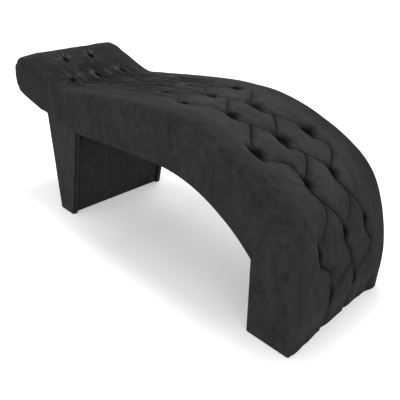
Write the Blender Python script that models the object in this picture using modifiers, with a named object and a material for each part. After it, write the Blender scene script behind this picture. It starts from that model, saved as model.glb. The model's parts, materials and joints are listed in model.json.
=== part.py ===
"""An upholstered treatment bed: a wave of padded bench that runs over one foot down to the floor.

Two plywood ribs cut to the wave carry a bent deck on top and a bent belly panel below. A foam slab and
a blind-tufted cover lie on the deck. The raised head end stands on a separate trapezoid leg, bolted up
into two rails. Units are metres, +Z is up, +X points from the head end to the foot, and the origin is
on the floor under the middle of the bed.
"""

import math

import bmesh
import bpy
from mathutils import Matrix, Vector
from mathutils.geometry import delaunay_2d_cdt, interpolate_bezier

# The whole bed
LENGTH = 1.823
WIDTH = 0.600
STAND = 0.003  # the glides hold the cloth's lower edge this far off the floor
GAP = 0.0003  # clearance between pieces that touch
OVERRUN = 0.020  # how far a cutter runs past what it cuts
WELD_SHARE = 0.1  # of the gap: points closer than this are one point
CURVE_STEPS = 48  # straight runs in each curve of a line
SHARP_ANGLE = math.radians(40.0)

# Top line, seen from the side: heights from the floor, and distances from the nearer end
HEAD_HEIGHT = 0.760
HEAD_SLOPE = math.radians(5.0)
HEAD_REACH = 0.135
WAIST_FROM_HEAD = 0.420
WAIST_HEIGHT = 0.660
WAIST_REACH = 0.105
CREST_FROM_FOOT = 0.658
CREST_HEIGHT = 0.719
CREST_REACH_BACK = 0.298
CREST_REACH_ON = 0.200
BEND_FROM_FOOT = 0.176
BEND_HEIGHT = 0.566
BEND_SLOPE = math.radians(28.3)
BEND_REACH_BACK = 0.145
BEND_REACH_ON = 0.119
FOOT_STRAIGHT_HEIGHT = 0.102
FOOT_REACH = 0.220

# Head end, seen from the side
HEAD_UNDERCUT = 0.044
HEAD_THICKNESS = 0.170
HEAD_FACE_REACH_SHARE = 0.18

# Belly line, seen from the side: the head's underside, the leg's seat, the arch and the foot
SEAT_FROM_HEAD = 0.302
SEAT_LENGTH = 0.246
SEAT_BELOW_WAIST = 0.133
SEAT_DROP = 0.0325
ARCH_START_SLOPE = math.radians(3.6)
ARCH_START_REACH = 0.195
CROWN_FROM_FOOT = 0.678
CROWN_BELOW_CREST = 0.199
CROWN_REACH_BACK = 0.194
CROWN_REACH_ON = 0.160
FOOT_DEPTH = 0.205
FOOT_CORNER_HEIGHT = 0.315
FOOT_CORNER_SLOPE = math.radians(47.0)
FOOT_CORNER_REACH = 0.209
ARCH_STEPS = 9

# Upholstery: depths are measured down from the crown of the top line
COVER_DEPTH = 0.035
FOAM_THICKNESS = 0.025
DECK_THICKNESS = 0.004
SIDE_PAD = 0.012
HEAD_PAD = 0.034
SHOULDER_RADIUS = 0.042
SHOULDER_STEPS = 3
CROWN_RISE = 0.005

# Tufts: rows of two and rows of three, set in diamonds
TUFT_ROWS = 11
TUFT_COLUMNS = ((-1, 1), (-2, 0, 2))  # half spacings from the middle, in even and in odd rows
FIRST_TUFT_FROM_HEAD = 0.105  # along the cloth, from where the head's rounding ends
LAST_TUFT_FROM_FLOOR = 0.171
TUFT_SPACING = 0.154
TUFT_DEPTH = 0.030
TUFT_MOUTH_RADIUS = 0.021
PLEAT_DEPTH = 0.015
PLEAT_HALF_WIDTH = 0.012
STATIONS_PER_ROW = 3
MOUTH_DEPTH_SHARE = 0.26
MOUTH_PLEAT_DEPTH_SHARE = 0.60
PLEAT_SHARES = (0.27, 0.5, 0.73)  # along a pleat, from tuft to tuft
PLEAT_SIDE_DEPTH_SHARE = 0.30
PUFF_DEPTH_SHARE = 0.15
PUFF_REACH_SHARE = 0.46

# Frame
RIB_THICKNESS = 0.018
BELLY_THICKNESS = 0.004
HEAD_BOARD_THICKNESS = 0.018
BACK_BOARD_THICKNESS = 0.012
BASE_BOARD_THICKNESS = 0.018
RAIL_WIDTH = 0.045
RAIL_HEIGHT = 0.030
RAIL_ROWS = (1, 4, 7)  # each rail lies behind one of these tuft rows
LEG_RAIL_WIDTH = 0.060
LEG_RAIL_HEIGHT = 0.028

# Tuft ties: a sewn tab under the cover, twine through foam and deck, a washer and a knot below
TAB_RADIUS = 0.006
TAB_THICKNESS = 0.0012
TWINE_RADIUS = 0.00125
WASHER_RADIUS = 0.008
WASHER_THICKNESS = 0.0015
KNOT_RADIUS = 0.0025
KNOT_LENGTH = 0.003
TIE_CLEARANCE = 0.0006
TIE_SIDES = 8

# Head leg: two end panels, with walls set back between them
LEG_INSET = 0.004
LEG_FOOT_LENGTH = 0.113
LEG_COVER_THICKNESS = 0.004
LEG_END_THICKNESS = 0.022
LEG_WALL_RECESS = 0.010
LEG_WALL_THICKNESS = 0.015
LEG_PLATE_THICKNESS = 0.018

# Bolts through the leg's top plate and the belly panel into the leg rails
BOLT_RADIUS = 0.004
BOLT_HEAD_RADIUS = 0.009
BOLT_HEAD_HEIGHT = 0.005
BOLT_WASHER_RADIUS = 0.012
BOLT_WASHER_THICKNESS = 0.002
BOLT_GRIP_SHARE = 0.75
BOLT_CLEARANCE = 0.0005
BOLT_FROM_SIDE = 0.110
BOLT_SHARES = (0.28, 0.72)  # along the seat, from its head side
BOLT_SIDES = 12

# Nail-on glides
GLIDE_RADIUS = 0.014
GLIDE_EDGE_SHARE = 0.45
NAIL_RADIUS = 0.0013
NAIL_LENGTH = 0.012
NAIL_CLEARANCE = 0.0004
GLIDE_FROM_SIDE = 0.075
GLIDE_FROM_EDGE = 0.030
GLIDE_SIDES = 16

# Worked out from the sizes above
WELD = GAP * WELD_SHARE
HEAD_LOWER_HEIGHT = HEAD_HEIGHT - HEAD_THICKNESS
SEAT_HEIGHT = WAIST_HEIGHT - SEAT_BELOW_WAIST
HEAD_ROUND = SHOULDER_RADIUS + 2 * CROWN_RISE  # the head's upper edge is as soft as the shoulders
ARC_REACH_SHARE = 0.5523  # handle of a cubic curve that follows a quarter circle
HEADING_RUN_SHARE = 0.125  # of the head's rounding: the run over which a line's direction is taken
FRAME_WIDTH = WIDTH - 2 * (SIDE_PAD + GAP)
INNER_WIDTH = FRAME_WIDTH - 2 * (RIB_THICKNESS + GAP)
FOAM_DEPTH = COVER_DEPTH + GAP
DECK_DEPTH = FOAM_DEPTH + FOAM_THICKNESS + GAP
UNDER_DECK_DEPTH = DECK_DEPTH + DECK_THICKNESS + GAP


# Scene and materials
for old in list(bpy.data.objects):
    bpy.data.objects.remove(old)


def new_collection(name):
    made = bpy.data.collections.new(name)
    bpy.context.scene.collection.children.link(made)
    return made


bed = new_collection("treatment_bed")
cutters = new_collection("treatment_bed_cutters")
cutters.hide_render = True


def material(name, colour, roughness, metallic=0.0):
    made = bpy.data.materials.new(name)
    made.use_nodes = True
    shader = made.node_tree.nodes["Principled BSDF"]
    shader.inputs["Base Color"].default_value = (*colour, 1.0)
    shader.inputs["Roughness"].default_value = roughness
    shader.inputs["Metallic"].default_value = metallic
    made.diffuse_color = (*colour, 1.0)
    return made


SUEDE = material("charcoal_suede", (0.035, 0.035, 0.036), 0.85)
LINING = material("charcoal_lining", (0.028, 0.028, 0.029), 0.90)
FOAM = material("yellow_foam", (0.80, 0.68, 0.36), 0.95)
PLYWOOD = material("birch_plywood", (0.60, 0.44, 0.27), 0.60)
PINE = material("pine", (0.68, 0.49, 0.27), 0.65)
TWINE = material("waxed_twine", (0.55, 0.50, 0.40), 0.80)
STEEL = material("zinc_plated_steel", (0.62, 0.63, 0.65), 0.35, 1.0)
PLASTIC = material("black_polypropylene", (0.02, 0.02, 0.02), 0.45)


# Lines seen from the side, as lists of (distance from the head end, height)
def curve_through(knots):
    """Points along cubic curves; a knot is (place, way in, way out), with the ways as vectors from it."""
    line = [knots[0][0]]
    for (start, _, way_out), (end, way_in, _) in zip(knots, knots[1:]):
        line += interpolate_bezier(start, start + way_out, end + way_in, end, CURVE_STEPS)[1:]
    return [Vector((point[0], point[1])) for point in line]


def slant(reach, slope):
    return Vector((reach * math.cos(slope), -reach * math.sin(slope)))


def top_knots():
    straight = Vector((0.0, 0.0))
    face_low = Vector((HEAD_UNDERCUT, HEAD_LOWER_HEIGHT))
    face_top = Vector((0.0, HEAD_HEIGHT - HEAD_ROUND))
    round_end = Vector((HEAD_ROUND, HEAD_HEIGHT))
    turn = HEAD_ROUND * ARC_REACH_SHARE
    waist = Vector((WAIST_FROM_HEAD, WAIST_HEIGHT))
    crest = Vector((LENGTH - CREST_FROM_FOOT, CREST_HEIGHT))
    bend = Vector((LENGTH - BEND_FROM_FOOT, BEND_HEIGHT))
    foot = Vector((LENGTH, FOOT_STRAIGHT_HEIGHT))
    head = [
        (face_low, straight, (face_top - face_low) * HEAD_FACE_REACH_SHARE),
        (face_top, Vector((0.0, -HEAD_ROUND)), Vector((0.0, turn))),
        (round_end, slant(-turn, HEAD_SLOPE), slant(HEAD_REACH, HEAD_SLOPE)),
    ]
    back = [
        (waist, Vector((-WAIST_REACH, 0.0)), Vector((WAIST_REACH, 0.0))),
        (crest, Vector((-CREST_REACH_BACK, 0.0)), Vector((CREST_REACH_ON, 0.0))),
        (bend, slant(-BEND_REACH_BACK, BEND_SLOPE), slant(BEND_REACH_ON, BEND_SLOPE)),
        (foot, Vector((0.0, FOOT_REACH)), straight),
        (Vector((LENGTH, STAND)), straight, straight),
    ]
    return head, back


class Line:
    """A line with places measured along it."""

    def __init__(self, points):
        self.points = points
        self.marks = [0.0]
        for start, end in zip(points, points[1:]):
            self.marks.append(self.marks[-1] + (end - start).length)
        self.length = self.marks[-1]

    def leg_at(self, along):
        index = 0
        while index < len(self.points) - 2 and self.marks[index + 1] < along:
            index += 1
        return index

    def place(self, along):
        index = self.leg_at(along)
        start, end = self.points[index], self.points[index + 1]
        share = (along - self.marks[index]) / (self.marks[index + 1] - self.marks[index])
        return start.lerp(end, min(max(share, 0.0), 1.0))

    def heading(self, along):
        """The line's direction, averaged over a short run so that normals turn smoothly."""
        run = HEAD_ROUND * HEADING_RUN_SHARE
        before = self.place(max(along - run, 0.0))
        after = self.place(min(along + run, self.length))
        return (after - before).normalized()

    def inward(self, along):
        heading = self.heading(along)
        return Vector((heading.y, -heading.x))


def line_through_head_and_back():
    head, back = top_knots()
    head_line = Line(curve_through(head))
    return Line(curve_through(head + back)), head_line.length, Line(curve_through(head[:2])).length


TOP, TOP_START, FRONT_END = line_through_head_and_back()
FIRST_TUFT = TOP_START + FIRST_TUFT_FROM_HEAD
TUFT_PITCH = (TOP.length - LAST_TUFT_FROM_FLOOR - FIRST_TUFT) / (TUFT_ROWS - 1)
STATION_STEP = TUFT_PITCH / STATIONS_PER_ROW


def head_stations():
    """Places along the head end's face and round its upper edge."""
    return [0.0, FRONT_END / 2, FRONT_END, (FRONT_END + TOP_START) / 2]


def top_stations():
    """Places along the top line where every layer of the bed has its bends."""
    before = int((FIRST_TUFT - TOP_START) / STATION_STEP)
    after = int((TOP.length - FIRST_TUFT) / STATION_STEP)
    places = [FIRST_TUFT + step * STATION_STEP for step in range(-before, after + 1)]
    return [TOP_START] + places + [TOP.length]


def layer(depth):
    """The top line moved down to a depth, from the head end's rounding to the floor."""
    return [TOP.place(s) + TOP.inward(s) * depth for s in top_stations()]


def front_distance(depth, height):
    """How far from the head end a plane lies that is this deep behind the head's sloping face."""
    rise = HEAD_HEIGHT - HEAD_ROUND - HEAD_LOWER_HEIGHT
    lean = HEAD_UNDERCUT / rise
    return depth * math.hypot(1.0, lean) + lean * (HEAD_HEIGHT - HEAD_ROUND - height)


def trimmed_at_head(line, depth):
    """The line begun on the plane that is this deep behind the head's face."""
    start, following = line[0], line[1]
    run = following - start
    lean = HEAD_UNDERCUT / (HEAD_HEIGHT - HEAD_ROUND - HEAD_LOWER_HEIGHT)
    share = (front_distance(depth, start.y) - start.x) / (run.x + lean * run.y)
    return [start + run * share] + line[1:]


def trimmed_at_height(line, height):
    """The line ended at a height above the floor."""
    kept = [point for point in line if point.y > height]
    last, following = kept[-1], line[len(kept)]
    return kept + [last.lerp(following, (last.y - height) / (last.y - following.y))]


def belly_line():
    seat_start = Vector((SEAT_FROM_HEAD, SEAT_HEIGHT))
    seat_end = Vector((SEAT_FROM_HEAD + SEAT_LENGTH, SEAT_HEIGHT - SEAT_DROP))
    crown = Vector((LENGTH - CROWN_FROM_FOOT, CREST_HEIGHT - CROWN_BELOW_CREST))
    corner = Vector((LENGTH - FOOT_DEPTH, FOOT_CORNER_HEIGHT))
    rising = interpolate_bezier(
        seat_end,
        seat_end + slant(ARCH_START_REACH, -ARCH_START_SLOPE),
        crown - Vector((CROWN_REACH_BACK, 0.0)),
        crown,
        ARCH_STEPS,
    )
    falling = interpolate_bezier(
        crown,
        crown + Vector((CROWN_REACH_ON, 0.0)),
        corner + slant(-FOOT_CORNER_REACH, FOOT_CORNER_SLOPE),
        corner,
        ARCH_STEPS,
    )
    arch = [Vector((point[0], point[1])) for point in rising + falling[1:]]
    return [Vector((HEAD_UNDERCUT, HEAD_LOWER_HEIGHT)), seat_start] + arch


BELLY = belly_line()
SEAT_HEADING = (BELLY[2] - BELLY[1]).normalized()


def belly_layer(depth):
    """The belly line moved up into the bed by a depth, mitred at its bends."""
    moved = []
    for index, point in enumerate(BELLY):
        before = BELLY[index] - BELLY[index - 1] if index else BELLY[1] - BELLY[0]
        after = BELLY[index + 1] - BELLY[index] if index + 1 < len(BELLY) else before
        before, after = before.normalized(), after.normalized()
        upward = Vector((-before.y - after.y, before.x + after.x)).normalized()
        moved.append(point + upward * depth / math.cos(before.angle(after) / 2))
    return moved


# Solids
def finished(obj, surface, smooth=False):
    obj.data.materials.clear()
    obj.data.materials.append(surface)
    if smooth:
        obj.data.shade_smooth()
        obj.data.set_sharp_from_angle(angle=SHARP_ANGLE)
    return obj


def new_object(name, mesh, home=bed):
    made = bpy.data.objects.new(name, mesh)
    home.objects.link(made)
    return made


def extruded(name, outline, width, y=0.0, home=bed):
    """A board: an outline seen from the side, as thick as width, centred on y."""
    curve = bpy.data.curves.new(name, "CURVE")
    curve.dimensions = "2D"
    curve.fill_mode = "BOTH"
    curve.extrude = width / 2
    spline = curve.splines.new("POLY")
    spline.points.add(len(outline) - 1)
    for corner, point in zip(spline.points, outline):
        corner.co = (point[0] - LENGTH / 2, point[1], 0.0, 1.0)
    spline.use_cyclic_u = True
    drawn = new_object(name + "_outline", curve, home)
    drawn.rotation_euler.x = math.pi / 2
    drawn.location.y = y
    bpy.context.view_layer.update()
    graph = bpy.context.evaluated_depsgraph_get()
    mesh = bpy.data.meshes.new_from_object(drawn.evaluated_get(graph))
    mesh.name = name
    shell = bmesh.new()
    shell.from_mesh(mesh)
    bmesh.ops.remove_doubles(shell, verts=shell.verts, dist=WELD)
    bmesh.ops.recalc_face_normals(shell, faces=shell.faces)
    shell.to_mesh(mesh)
    shell.free()
    made = new_object(name, mesh, home)
    made.matrix_world = drawn.matrix_world.copy()
    bpy.data.objects.remove(drawn)
    return made


def turned(name, profile, sides):
    """A round piece about its own Z axis; the profile runs down from its top centre to its lower one."""
    mesh = bpy.data.meshes.new(name)
    edges = [(index, index + 1) for index in range(len(profile) - 1)]
    mesh.from_pydata([(radius, 0.0, height) for radius, height in profile], edges, [])
    made = new_object(name, mesh)
    screw = made.modifiers.new("turn", "SCREW")
    screw.angle = 2 * math.pi
    screw.steps = screw.render_steps = sides
    screw.use_merge_vertices = True
    screw.merge_threshold = WELD
    return made


def cylinders(name, radius, sides, places):
    """Round cutters joined in one object; a place is (centre, axis, length)."""
    shell = bmesh.new()
    half_side = Matrix.Rotation(math.pi / sides, 4, "Z")
    for centre, axis, length in places:
        turn = axis.to_track_quat("Z", "Y").to_matrix().to_4x4() @ half_side
        bmesh.ops.create_cone(
            shell,
            cap_ends=True,
            segments=sides,
            radius1=radius,
            radius2=radius,
            depth=length,
            matrix=Matrix.Translation(centre) @ turn,
        )
    mesh = bpy.data.meshes.new(name)
    shell.to_mesh(mesh)
    shell.free()
    return as_cutter(new_object(name, mesh, cutters))


def as_cutter(obj):
    obj.hide_render = True
    obj.display_type = "WIRE"
    return obj


def cut(obj, cutter):
    boolean = obj.modifiers.new("cut_" + cutter.name, "BOOLEAN")
    boolean.operation = "DIFFERENCE"
    boolean.solver = "EXACT"
    boolean.object = cutter


def in_space(point, y=0.0):
    """A side-view point as a place in the bed."""
    return Vector((point[0] - LENGTH / 2, y, point[1]))


# Frame: ribs, boards, deck and belly panel
def inner_outline(top_depth, front_depth, belly_depth, back_depth, low_height):
    """The frame's outline between the deck, the head's face, the belly, the foot's back and a height."""
    top = trimmed_at_height(trimmed_at_head(layer(top_depth), front_depth), low_height)
    below = trimmed_at_head(belly_layer(belly_depth), front_depth)
    back = LENGTH - FOOT_DEPTH + back_depth
    foot = [Vector((back, low_height)), Vector((back, below[-1].y))]
    return top + foot + list(reversed(below))


def make_ribs():
    outline = inner_outline(
        UNDER_DECK_DEPTH,
        HEAD_PAD + GAP + HEAD_BOARD_THICKNESS + GAP,
        BELLY_THICKNESS + GAP,
        BACK_BOARD_THICKNESS + GAP,
        STAND + BASE_BOARD_THICKNESS + GAP,
    )
    for side, name in ((-1, "side_rib_near"), (1, "side_rib_far")):
        y = side * (FRAME_WIDTH - RIB_THICKNESS) / 2
        finished(extruded(name, outline, RIB_THICKNESS, y), PLYWOOD)


def make_head_board():
    front, back = HEAD_PAD + GAP, HEAD_PAD + GAP + HEAD_BOARD_THICKNESS
    top, below = layer(UNDER_DECK_DEPTH), belly_layer(BELLY_THICKNESS + GAP)
    corners = []
    for depth in (front, back):
        upper = trimmed_at_head(top, depth)[0]
        lower = trimmed_at_head(below, depth)[0]
        corners.append((upper, lower))
    (front_top, front_low), (back_top, back_low) = corners
    outline = [front_top, back_top, back_low, front_low]
    finished(extruded("head_board", outline, FRAME_WIDTH), PLYWOOD)


def make_foot_boards():
    back = LENGTH - FOOT_DEPTH
    inner = back + BACK_BOARD_THICKNESS
    upper = FOOT_CORNER_HEIGHT - GAP
    outline = [(back, STAND), (inner, STAND), (inner, upper), (back, upper)]
    finished(extruded("foot_back_board", outline, FRAME_WIDTH), LINING)
    front = LENGTH - UNDER_DECK_DEPTH
    start, top = inner + GAP, STAND + BASE_BOARD_THICKNESS
    outline = [(start, STAND), (front, STAND), (front, top), (start, top)]
    return finished(extruded("foot_base_board", outline, FRAME_WIDTH), PLYWOOD), (start, front)


def bent_sheet(name, depth, thickness, surface):
    """A sheet that follows the top line from the head end to the floor."""
    upper = trimmed_at_head(layer(depth), HEAD_PAD + GAP)
    lower = trimmed_at_head(layer(depth + thickness), HEAD_PAD + GAP)
    return finished(extruded(name, upper + list(reversed(lower)), FRAME_WIDTH), surface)


def make_belly_panel():
    lower = trimmed_at_head(belly_layer(0.0), HEAD_PAD + GAP)
    upper = trimmed_at_head(belly_layer(BELLY_THICKNESS), HEAD_PAD + GAP)
    outline = lower + list(reversed(upper))
    return finished(extruded("belly_panel", outline, FRAME_WIDTH), LINING)


def block(name, size, centre, tilt, surface):
    """A rail: a box across the bed, tilted in the side view."""
    shell = bmesh.new()
    bmesh.ops.create_cube(shell, size=1.0, matrix=Matrix.Diagonal((*size, 1.0)))
    mesh = bpy.data.meshes.new(name)
    shell.to_mesh(mesh)
    shell.free()
    made = new_object(name, mesh)
    made.location = centre
    made.rotation_euler.y = tilt
    return finished(made, surface)


def make_cross_rails():
    """Rails under the deck, each flat against the middle facet between two tuft rows."""
    for count, row in enumerate(RAIL_ROWS, 1):
        start = FIRST_TUFT + row * TUFT_PITCH + STATION_STEP
        ends = [TOP.place(s) + TOP.inward(s) * UNDER_DECK_DEPTH for s in (start, start + STATION_STEP)]
        run = (ends[1] - ends[0]).normalized()
        inward = Vector((run.y, -run.x))
        centre = (ends[0] + ends[1]) / 2 + inward * RAIL_HEIGHT / 2
        size = (RAIL_WIDTH, INNER_WIDTH, RAIL_HEIGHT)
        block(f"cross_rail_{count}", size, in_space(centre), -math.atan2(run.y, run.x), PINE)


def seat_point(share, depth):
    """A place along the leg's seat, moved up into the bed (or down into the leg) by a depth."""
    upward = Vector((-SEAT_HEADING.y, SEAT_HEADING.x))
    return BELLY[1].lerp(BELLY[2], share) + upward * depth


def make_leg_rails():
    rails = []
    for share, name in zip(BOLT_SHARES, ("leg_rail_head_side", "leg_rail_foot_side")):
        centre = seat_point(share, BELLY_THICKNESS + GAP + LEG_RAIL_HEIGHT / 2)
        size = (LEG_RAIL_WIDTH, INNER_WIDTH, LEG_RAIL_HEIGHT)
        tilt = -math.atan2(SEAT_HEADING.y, SEAT_HEADING.x)
        rails.append(block(name, size, in_space(centre), tilt, PINE))
    return rails


# Upholstery
def tuft_places():
    """The tufts as (row, column); columns are half a tuft spacing apart, and column 0 is the middle."""
    return [(row, column) for row in range(TUFT_ROWS) for column in TUFT_COLUMNS[row % 2]]


def all_columns():
    """Every column that holds a tuft in some row, from side to side."""
    return sorted(TUFT_COLUMNS[0] + TUFT_COLUMNS[1])


def pleats():
    """The folds, each from a tuft to a neighbour in the next row."""
    tufts = set(tuft_places())
    return [
        ((row, column), (row + 1, column + side))
        for row, column in sorted(tufts)
        for side in (-1, 1)
        if (row + 1, column + side) in tufts
    ]


class Quilt:
    """Points of the cover's top as (along, across), each with its depth under the crowned top."""

    def __init__(self):
        self.points = []
        self.depths = []
        self.edges = []

    def add(self, row, column, depth):
        """A point placed in tuft rows and columns, which need not be whole."""
        return self.add_at(FIRST_TUFT + row * TUFT_PITCH, column * TUFT_SPACING / 2, depth)

    def add_at(self, along, across, depth):
        self.points.append(Vector((along, across)))
        self.depths.append(depth)
        return len(self.points) - 1

    def join(self, chain):
        self.edges += list(zip(chain, chain[1:]))


def shoulder_columns():
    """Distances from the middle at which the cover's edge turns down, with how far it has dropped."""
    flat = WIDTH / 2 - SHOULDER_RADIUS
    columns = [((flat + TUFT_SPACING) / 2, 0.0)]
    for step in range(SHOULDER_STEPS + 1):
        angle = math.pi / 2 * step / SHOULDER_STEPS
        y = WIDTH / 2 if step == SHOULDER_STEPS else flat + SHOULDER_RADIUS * math.sin(angle)
        columns.append((y, SHOULDER_RADIUS * (1 - math.cos(angle))))
    return columns


def quilt_margins(quilt):
    """The plain borders, the head end's face and the last run to the floor."""
    last_tuft = FIRST_TUFT + (TUFT_ROWS - 1) * TUFT_PITCH
    for along in head_stations() + top_stations():
        for y, drop in shoulder_columns():
            for side in (-1, 1):
                quilt.add_at(along, side * y, drop)
        columns = []
        if along < FIRST_TUFT - STATION_STEP / 2:
            columns = all_columns()
        elif along > last_tuft + STATION_STEP / 2:
            columns = TUFT_COLUMNS[1]  # the others hold the folds that run on to the floor
        for column in columns:
            quilt.add_at(along, column * TUFT_SPACING / 2, 0.0)


def quilt_tufts(quilt):
    """Each tuft's hollow, with a mouth of eight points; the four on the folds lie deeper."""
    centres, mouths = {}, {}
    fold = Vector((TUFT_PITCH, TUFT_SPACING / 2)).normalized() * TUFT_MOUTH_RADIUS
    straight = [(TUFT_MOUTH_RADIUS, 0.0), (0.0, TUFT_MOUTH_RADIUS)]
    for row, column in tuft_places():
        along, across = FIRST_TUFT + row * TUFT_PITCH, column * TUFT_SPACING / 2
        centres[row, column] = quilt.add_at(along, across, TUFT_DEPTH)
        for side in (-1, 1):
            for x, y in straight:
                quilt.add_at(along + side * x, across + side * y, TUFT_DEPTH * MOUTH_DEPTH_SHARE)
            for turn in (-1, 1):
                mouths[row, column, side, turn] = quilt.add_at(
                    along + side * fold.x,
                    across + turn * fold.y,
                    TUFT_DEPTH * MOUTH_PLEAT_DEPTH_SHARE,
                )
    return centres, mouths


def quilt_pleats(quilt, centres, mouths):
    for (row, column), (next_row, next_column) in pleats():
        turn = next_column - column
        middle = [quilt.add(row + share, column + share * turn, PLEAT_DEPTH) for share in PLEAT_SHARES]
        half_way = quilt.points[middle[len(middle) // 2]]
        for side in (-1, 1):
            y = half_way.y + side * PLEAT_HALF_WIDTH
            quilt.add_at(half_way.x, y, PLEAT_DEPTH * PLEAT_SIDE_DEPTH_SHARE)
        start, end = mouths[row, column, 1, turn], mouths[next_row, next_column, -1, -turn]
        quilt.join([centres[row, column], start, *middle, end, centres[next_row, next_column]])
    last_row = TUFT_ROWS - 1
    last_tuft = FIRST_TUFT + last_row * TUFT_PITCH
    run = [along for along in top_stations() if along > last_tuft + STATION_STEP / 2]
    for column in TUFT_COLUMNS[0]:
        fold = [quilt.add_at(along, column * TUFT_SPACING / 2, PLEAT_DEPTH) for along in run]
        quilt.join([centres[last_row, column], *fold])


def quilt_puffs(quilt):
    """The raised middles of the diamonds, between their four tufts."""
    tufts = set(tuft_places())
    for row in range(TUFT_ROWS):
        for column in all_columns():
            if (row, column) in tufts:
                continue
            quilt.add(row, column, 0.0)
            for side in (-1, 1):
                beyond = row + side * PUFF_REACH_SHARE
                if 0 < beyond < TUFT_ROWS - 1:
                    quilt.add(beyond, column, PLEAT_DEPTH * PUFF_DEPTH_SHARE)


def crowned(along, across, depth):
    """A point of the cover in space, from its place along the top line and across the bed."""
    sink = depth + CROWN_RISE * (2 * across / WIDTH) ** 2
    inward = TOP.inward(along)
    if along < FRONT_END:
        inward = (BELLY[1] - BELLY[0]).normalized().lerp(inward, along / FRONT_END)
    return in_space(TOP.place(along) + inward * sink, across)


def make_cover():
    """The quilted top and both side walls in one piece, hollowed by what it covers."""
    quilt = Quilt()
    quilt_margins(quilt)
    centres, mouths = quilt_tufts(quilt)
    quilt_pleats(quilt, centres, mouths)
    quilt_puffs(quilt)
    points, _, faces, sources, _, _ = delaunay_2d_cdt(quilt.points, quilt.edges, [], 0, WELD)
    depths = [quilt.depths[source[0]] for source in sources]
    shell = bmesh.new()
    top = [shell.verts.new(crowned(p.x, p.y, depth)) for p, depth in zip(points, depths)]
    for face in faces:
        shell.faces.new([top[index] for index in face])

    def edge_of(measure, value, order):
        found = [i for i, p in enumerate(points) if abs(measure(p) - value) < WELD]
        return [top[i] for i in sorted(found, key=lambda i: order(points[i]))]

    walls = {}
    corner = Vector((LENGTH - FOOT_DEPTH, STAND))
    for side in (-1, 1):
        y = side * WIDTH / 2
        rim = edge_of(lambda p: p.y, y, lambda p: p.x)
        below = [shell.verts.new(in_space(point, y)) for point in BELLY[1:] + [corner]]
        walls[side] = below
        shell.faces.new(rim + list(reversed(below)))
    for near, far in zip(zip(walls[-1], walls[-1][1:]), zip(walls[1], walls[1][1:])):
        shell.faces.new([near[0], near[1], far[1], far[0]])
    head_edge = edge_of(lambda p: p.x, 0.0, lambda p: p.y)
    shell.faces.new([*head_edge, walls[1][0], walls[-1][0]])
    foot_edge = edge_of(lambda p: p.x, TOP.length, lambda p: p.y)
    shell.faces.new([*foot_edge, walls[1][-1], walls[-1][-1]])
    bmesh.ops.recalc_face_normals(shell, faces=shell.faces)
    mesh = bpy.data.meshes.new("tufted_cover")
    shell.to_mesh(mesh)
    shell.free()
    cover = finished(new_object("tufted_cover", mesh), SUEDE)
    cut(cover, cover_hollow())
    return cover


def cover_hollow():
    """What the cover leaves free for foam, deck and frame, open below."""
    upper = trimmed_at_head(layer(COVER_DEPTH), HEAD_PAD)
    below = trimmed_at_head(belly_layer(-OVERRUN), HEAD_PAD)
    back = LENGTH - FOOT_DEPTH - OVERRUN
    lowest = STAND - OVERRUN
    foot = [Vector((LENGTH - COVER_DEPTH, lowest)), Vector((back, lowest))]
    arch = [point for point in reversed(below) if point.x < back]
    outline = upper + foot + arch
    width = WIDTH - 2 * SIDE_PAD
    return as_cutter(extruded("cover_hollow", outline, width, home=cutters))


def fold_angle(along):
    """How far every layer bends at a station; positive where the bed is humped."""
    here = TOP.place(along)
    before, after = TOP.place(along - STATION_STEP), TOP.place(along + STATION_STEP)
    return (here - before).angle_signed(after - here)


def make_ties(foam, deck):
    """The ties and the bores that they pass through, square to the deck."""
    tab_bores, twine_bores = [], []
    for count, (row, column) in enumerate(tuft_places(), 1):
        along = FIRST_TUFT + row * TUFT_PITCH
        bend = math.tan(abs(fold_angle(along)) / 2)
        inward = TOP.inward(along)
        axis = in_space(inward) - in_space((0.0, 0.0))
        surface = in_space(TOP.place(along), column * TUFT_SPACING / 2)
        tab_top = FOAM_DEPTH + TAB_RADIUS * bend
        tab_under = tab_top + TAB_THICKNESS
        washer_top = UNDER_DECK_DEPTH + WASHER_RADIUS * bend
        washer_under = washer_top + WASHER_THICKNESS
        knot_under = washer_under + KNOT_LENGTH
        profile = [
            (0.0, -tab_top),
            (TAB_RADIUS, -tab_top),
            (TAB_RADIUS, -tab_under),
            (TWINE_RADIUS, -tab_under),
            (TWINE_RADIUS, -washer_top),
            (WASHER_RADIUS, -washer_top),
            (WASHER_RADIUS, -washer_under),
            (KNOT_RADIUS, -washer_under),
            (KNOT_RADIUS, -knot_under),
            (0.0, -knot_under),
        ]
        tie = finished(turned(f"tuft_tie_{count:02d}", profile, TIE_SIDES), TWINE)
        tie.location = surface
        tie.rotation_euler = (-axis).to_track_quat("Z", "Y").to_euler()
        half_foam = FOAM_THICKNESS / 2
        tab_bores.append((surface + axis * (FOAM_DEPTH + half_foam), axis, FOAM_THICKNESS + 2 * OVERRUN))
        middle = DECK_DEPTH + DECK_THICKNESS / 2
        twine_bores.append((surface + axis * middle, axis, DECK_THICKNESS + 2 * OVERRUN))
    cut(foam, cylinders("tab_bores", TAB_RADIUS + TIE_CLEARANCE, TIE_SIDES, tab_bores))
    cut(deck, cylinders("twine_bores", TWINE_RADIUS + TIE_CLEARANCE, TIE_SIDES, twine_bores))


# Head leg
LEG_WIDTH = WIDTH - 2 * LEG_INSET
LEG_LEAN = (SEAT_LENGTH - LEG_FOOT_LENGTH) / (SEAT_HEIGHT - SEAT_DROP - STAND)


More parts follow.
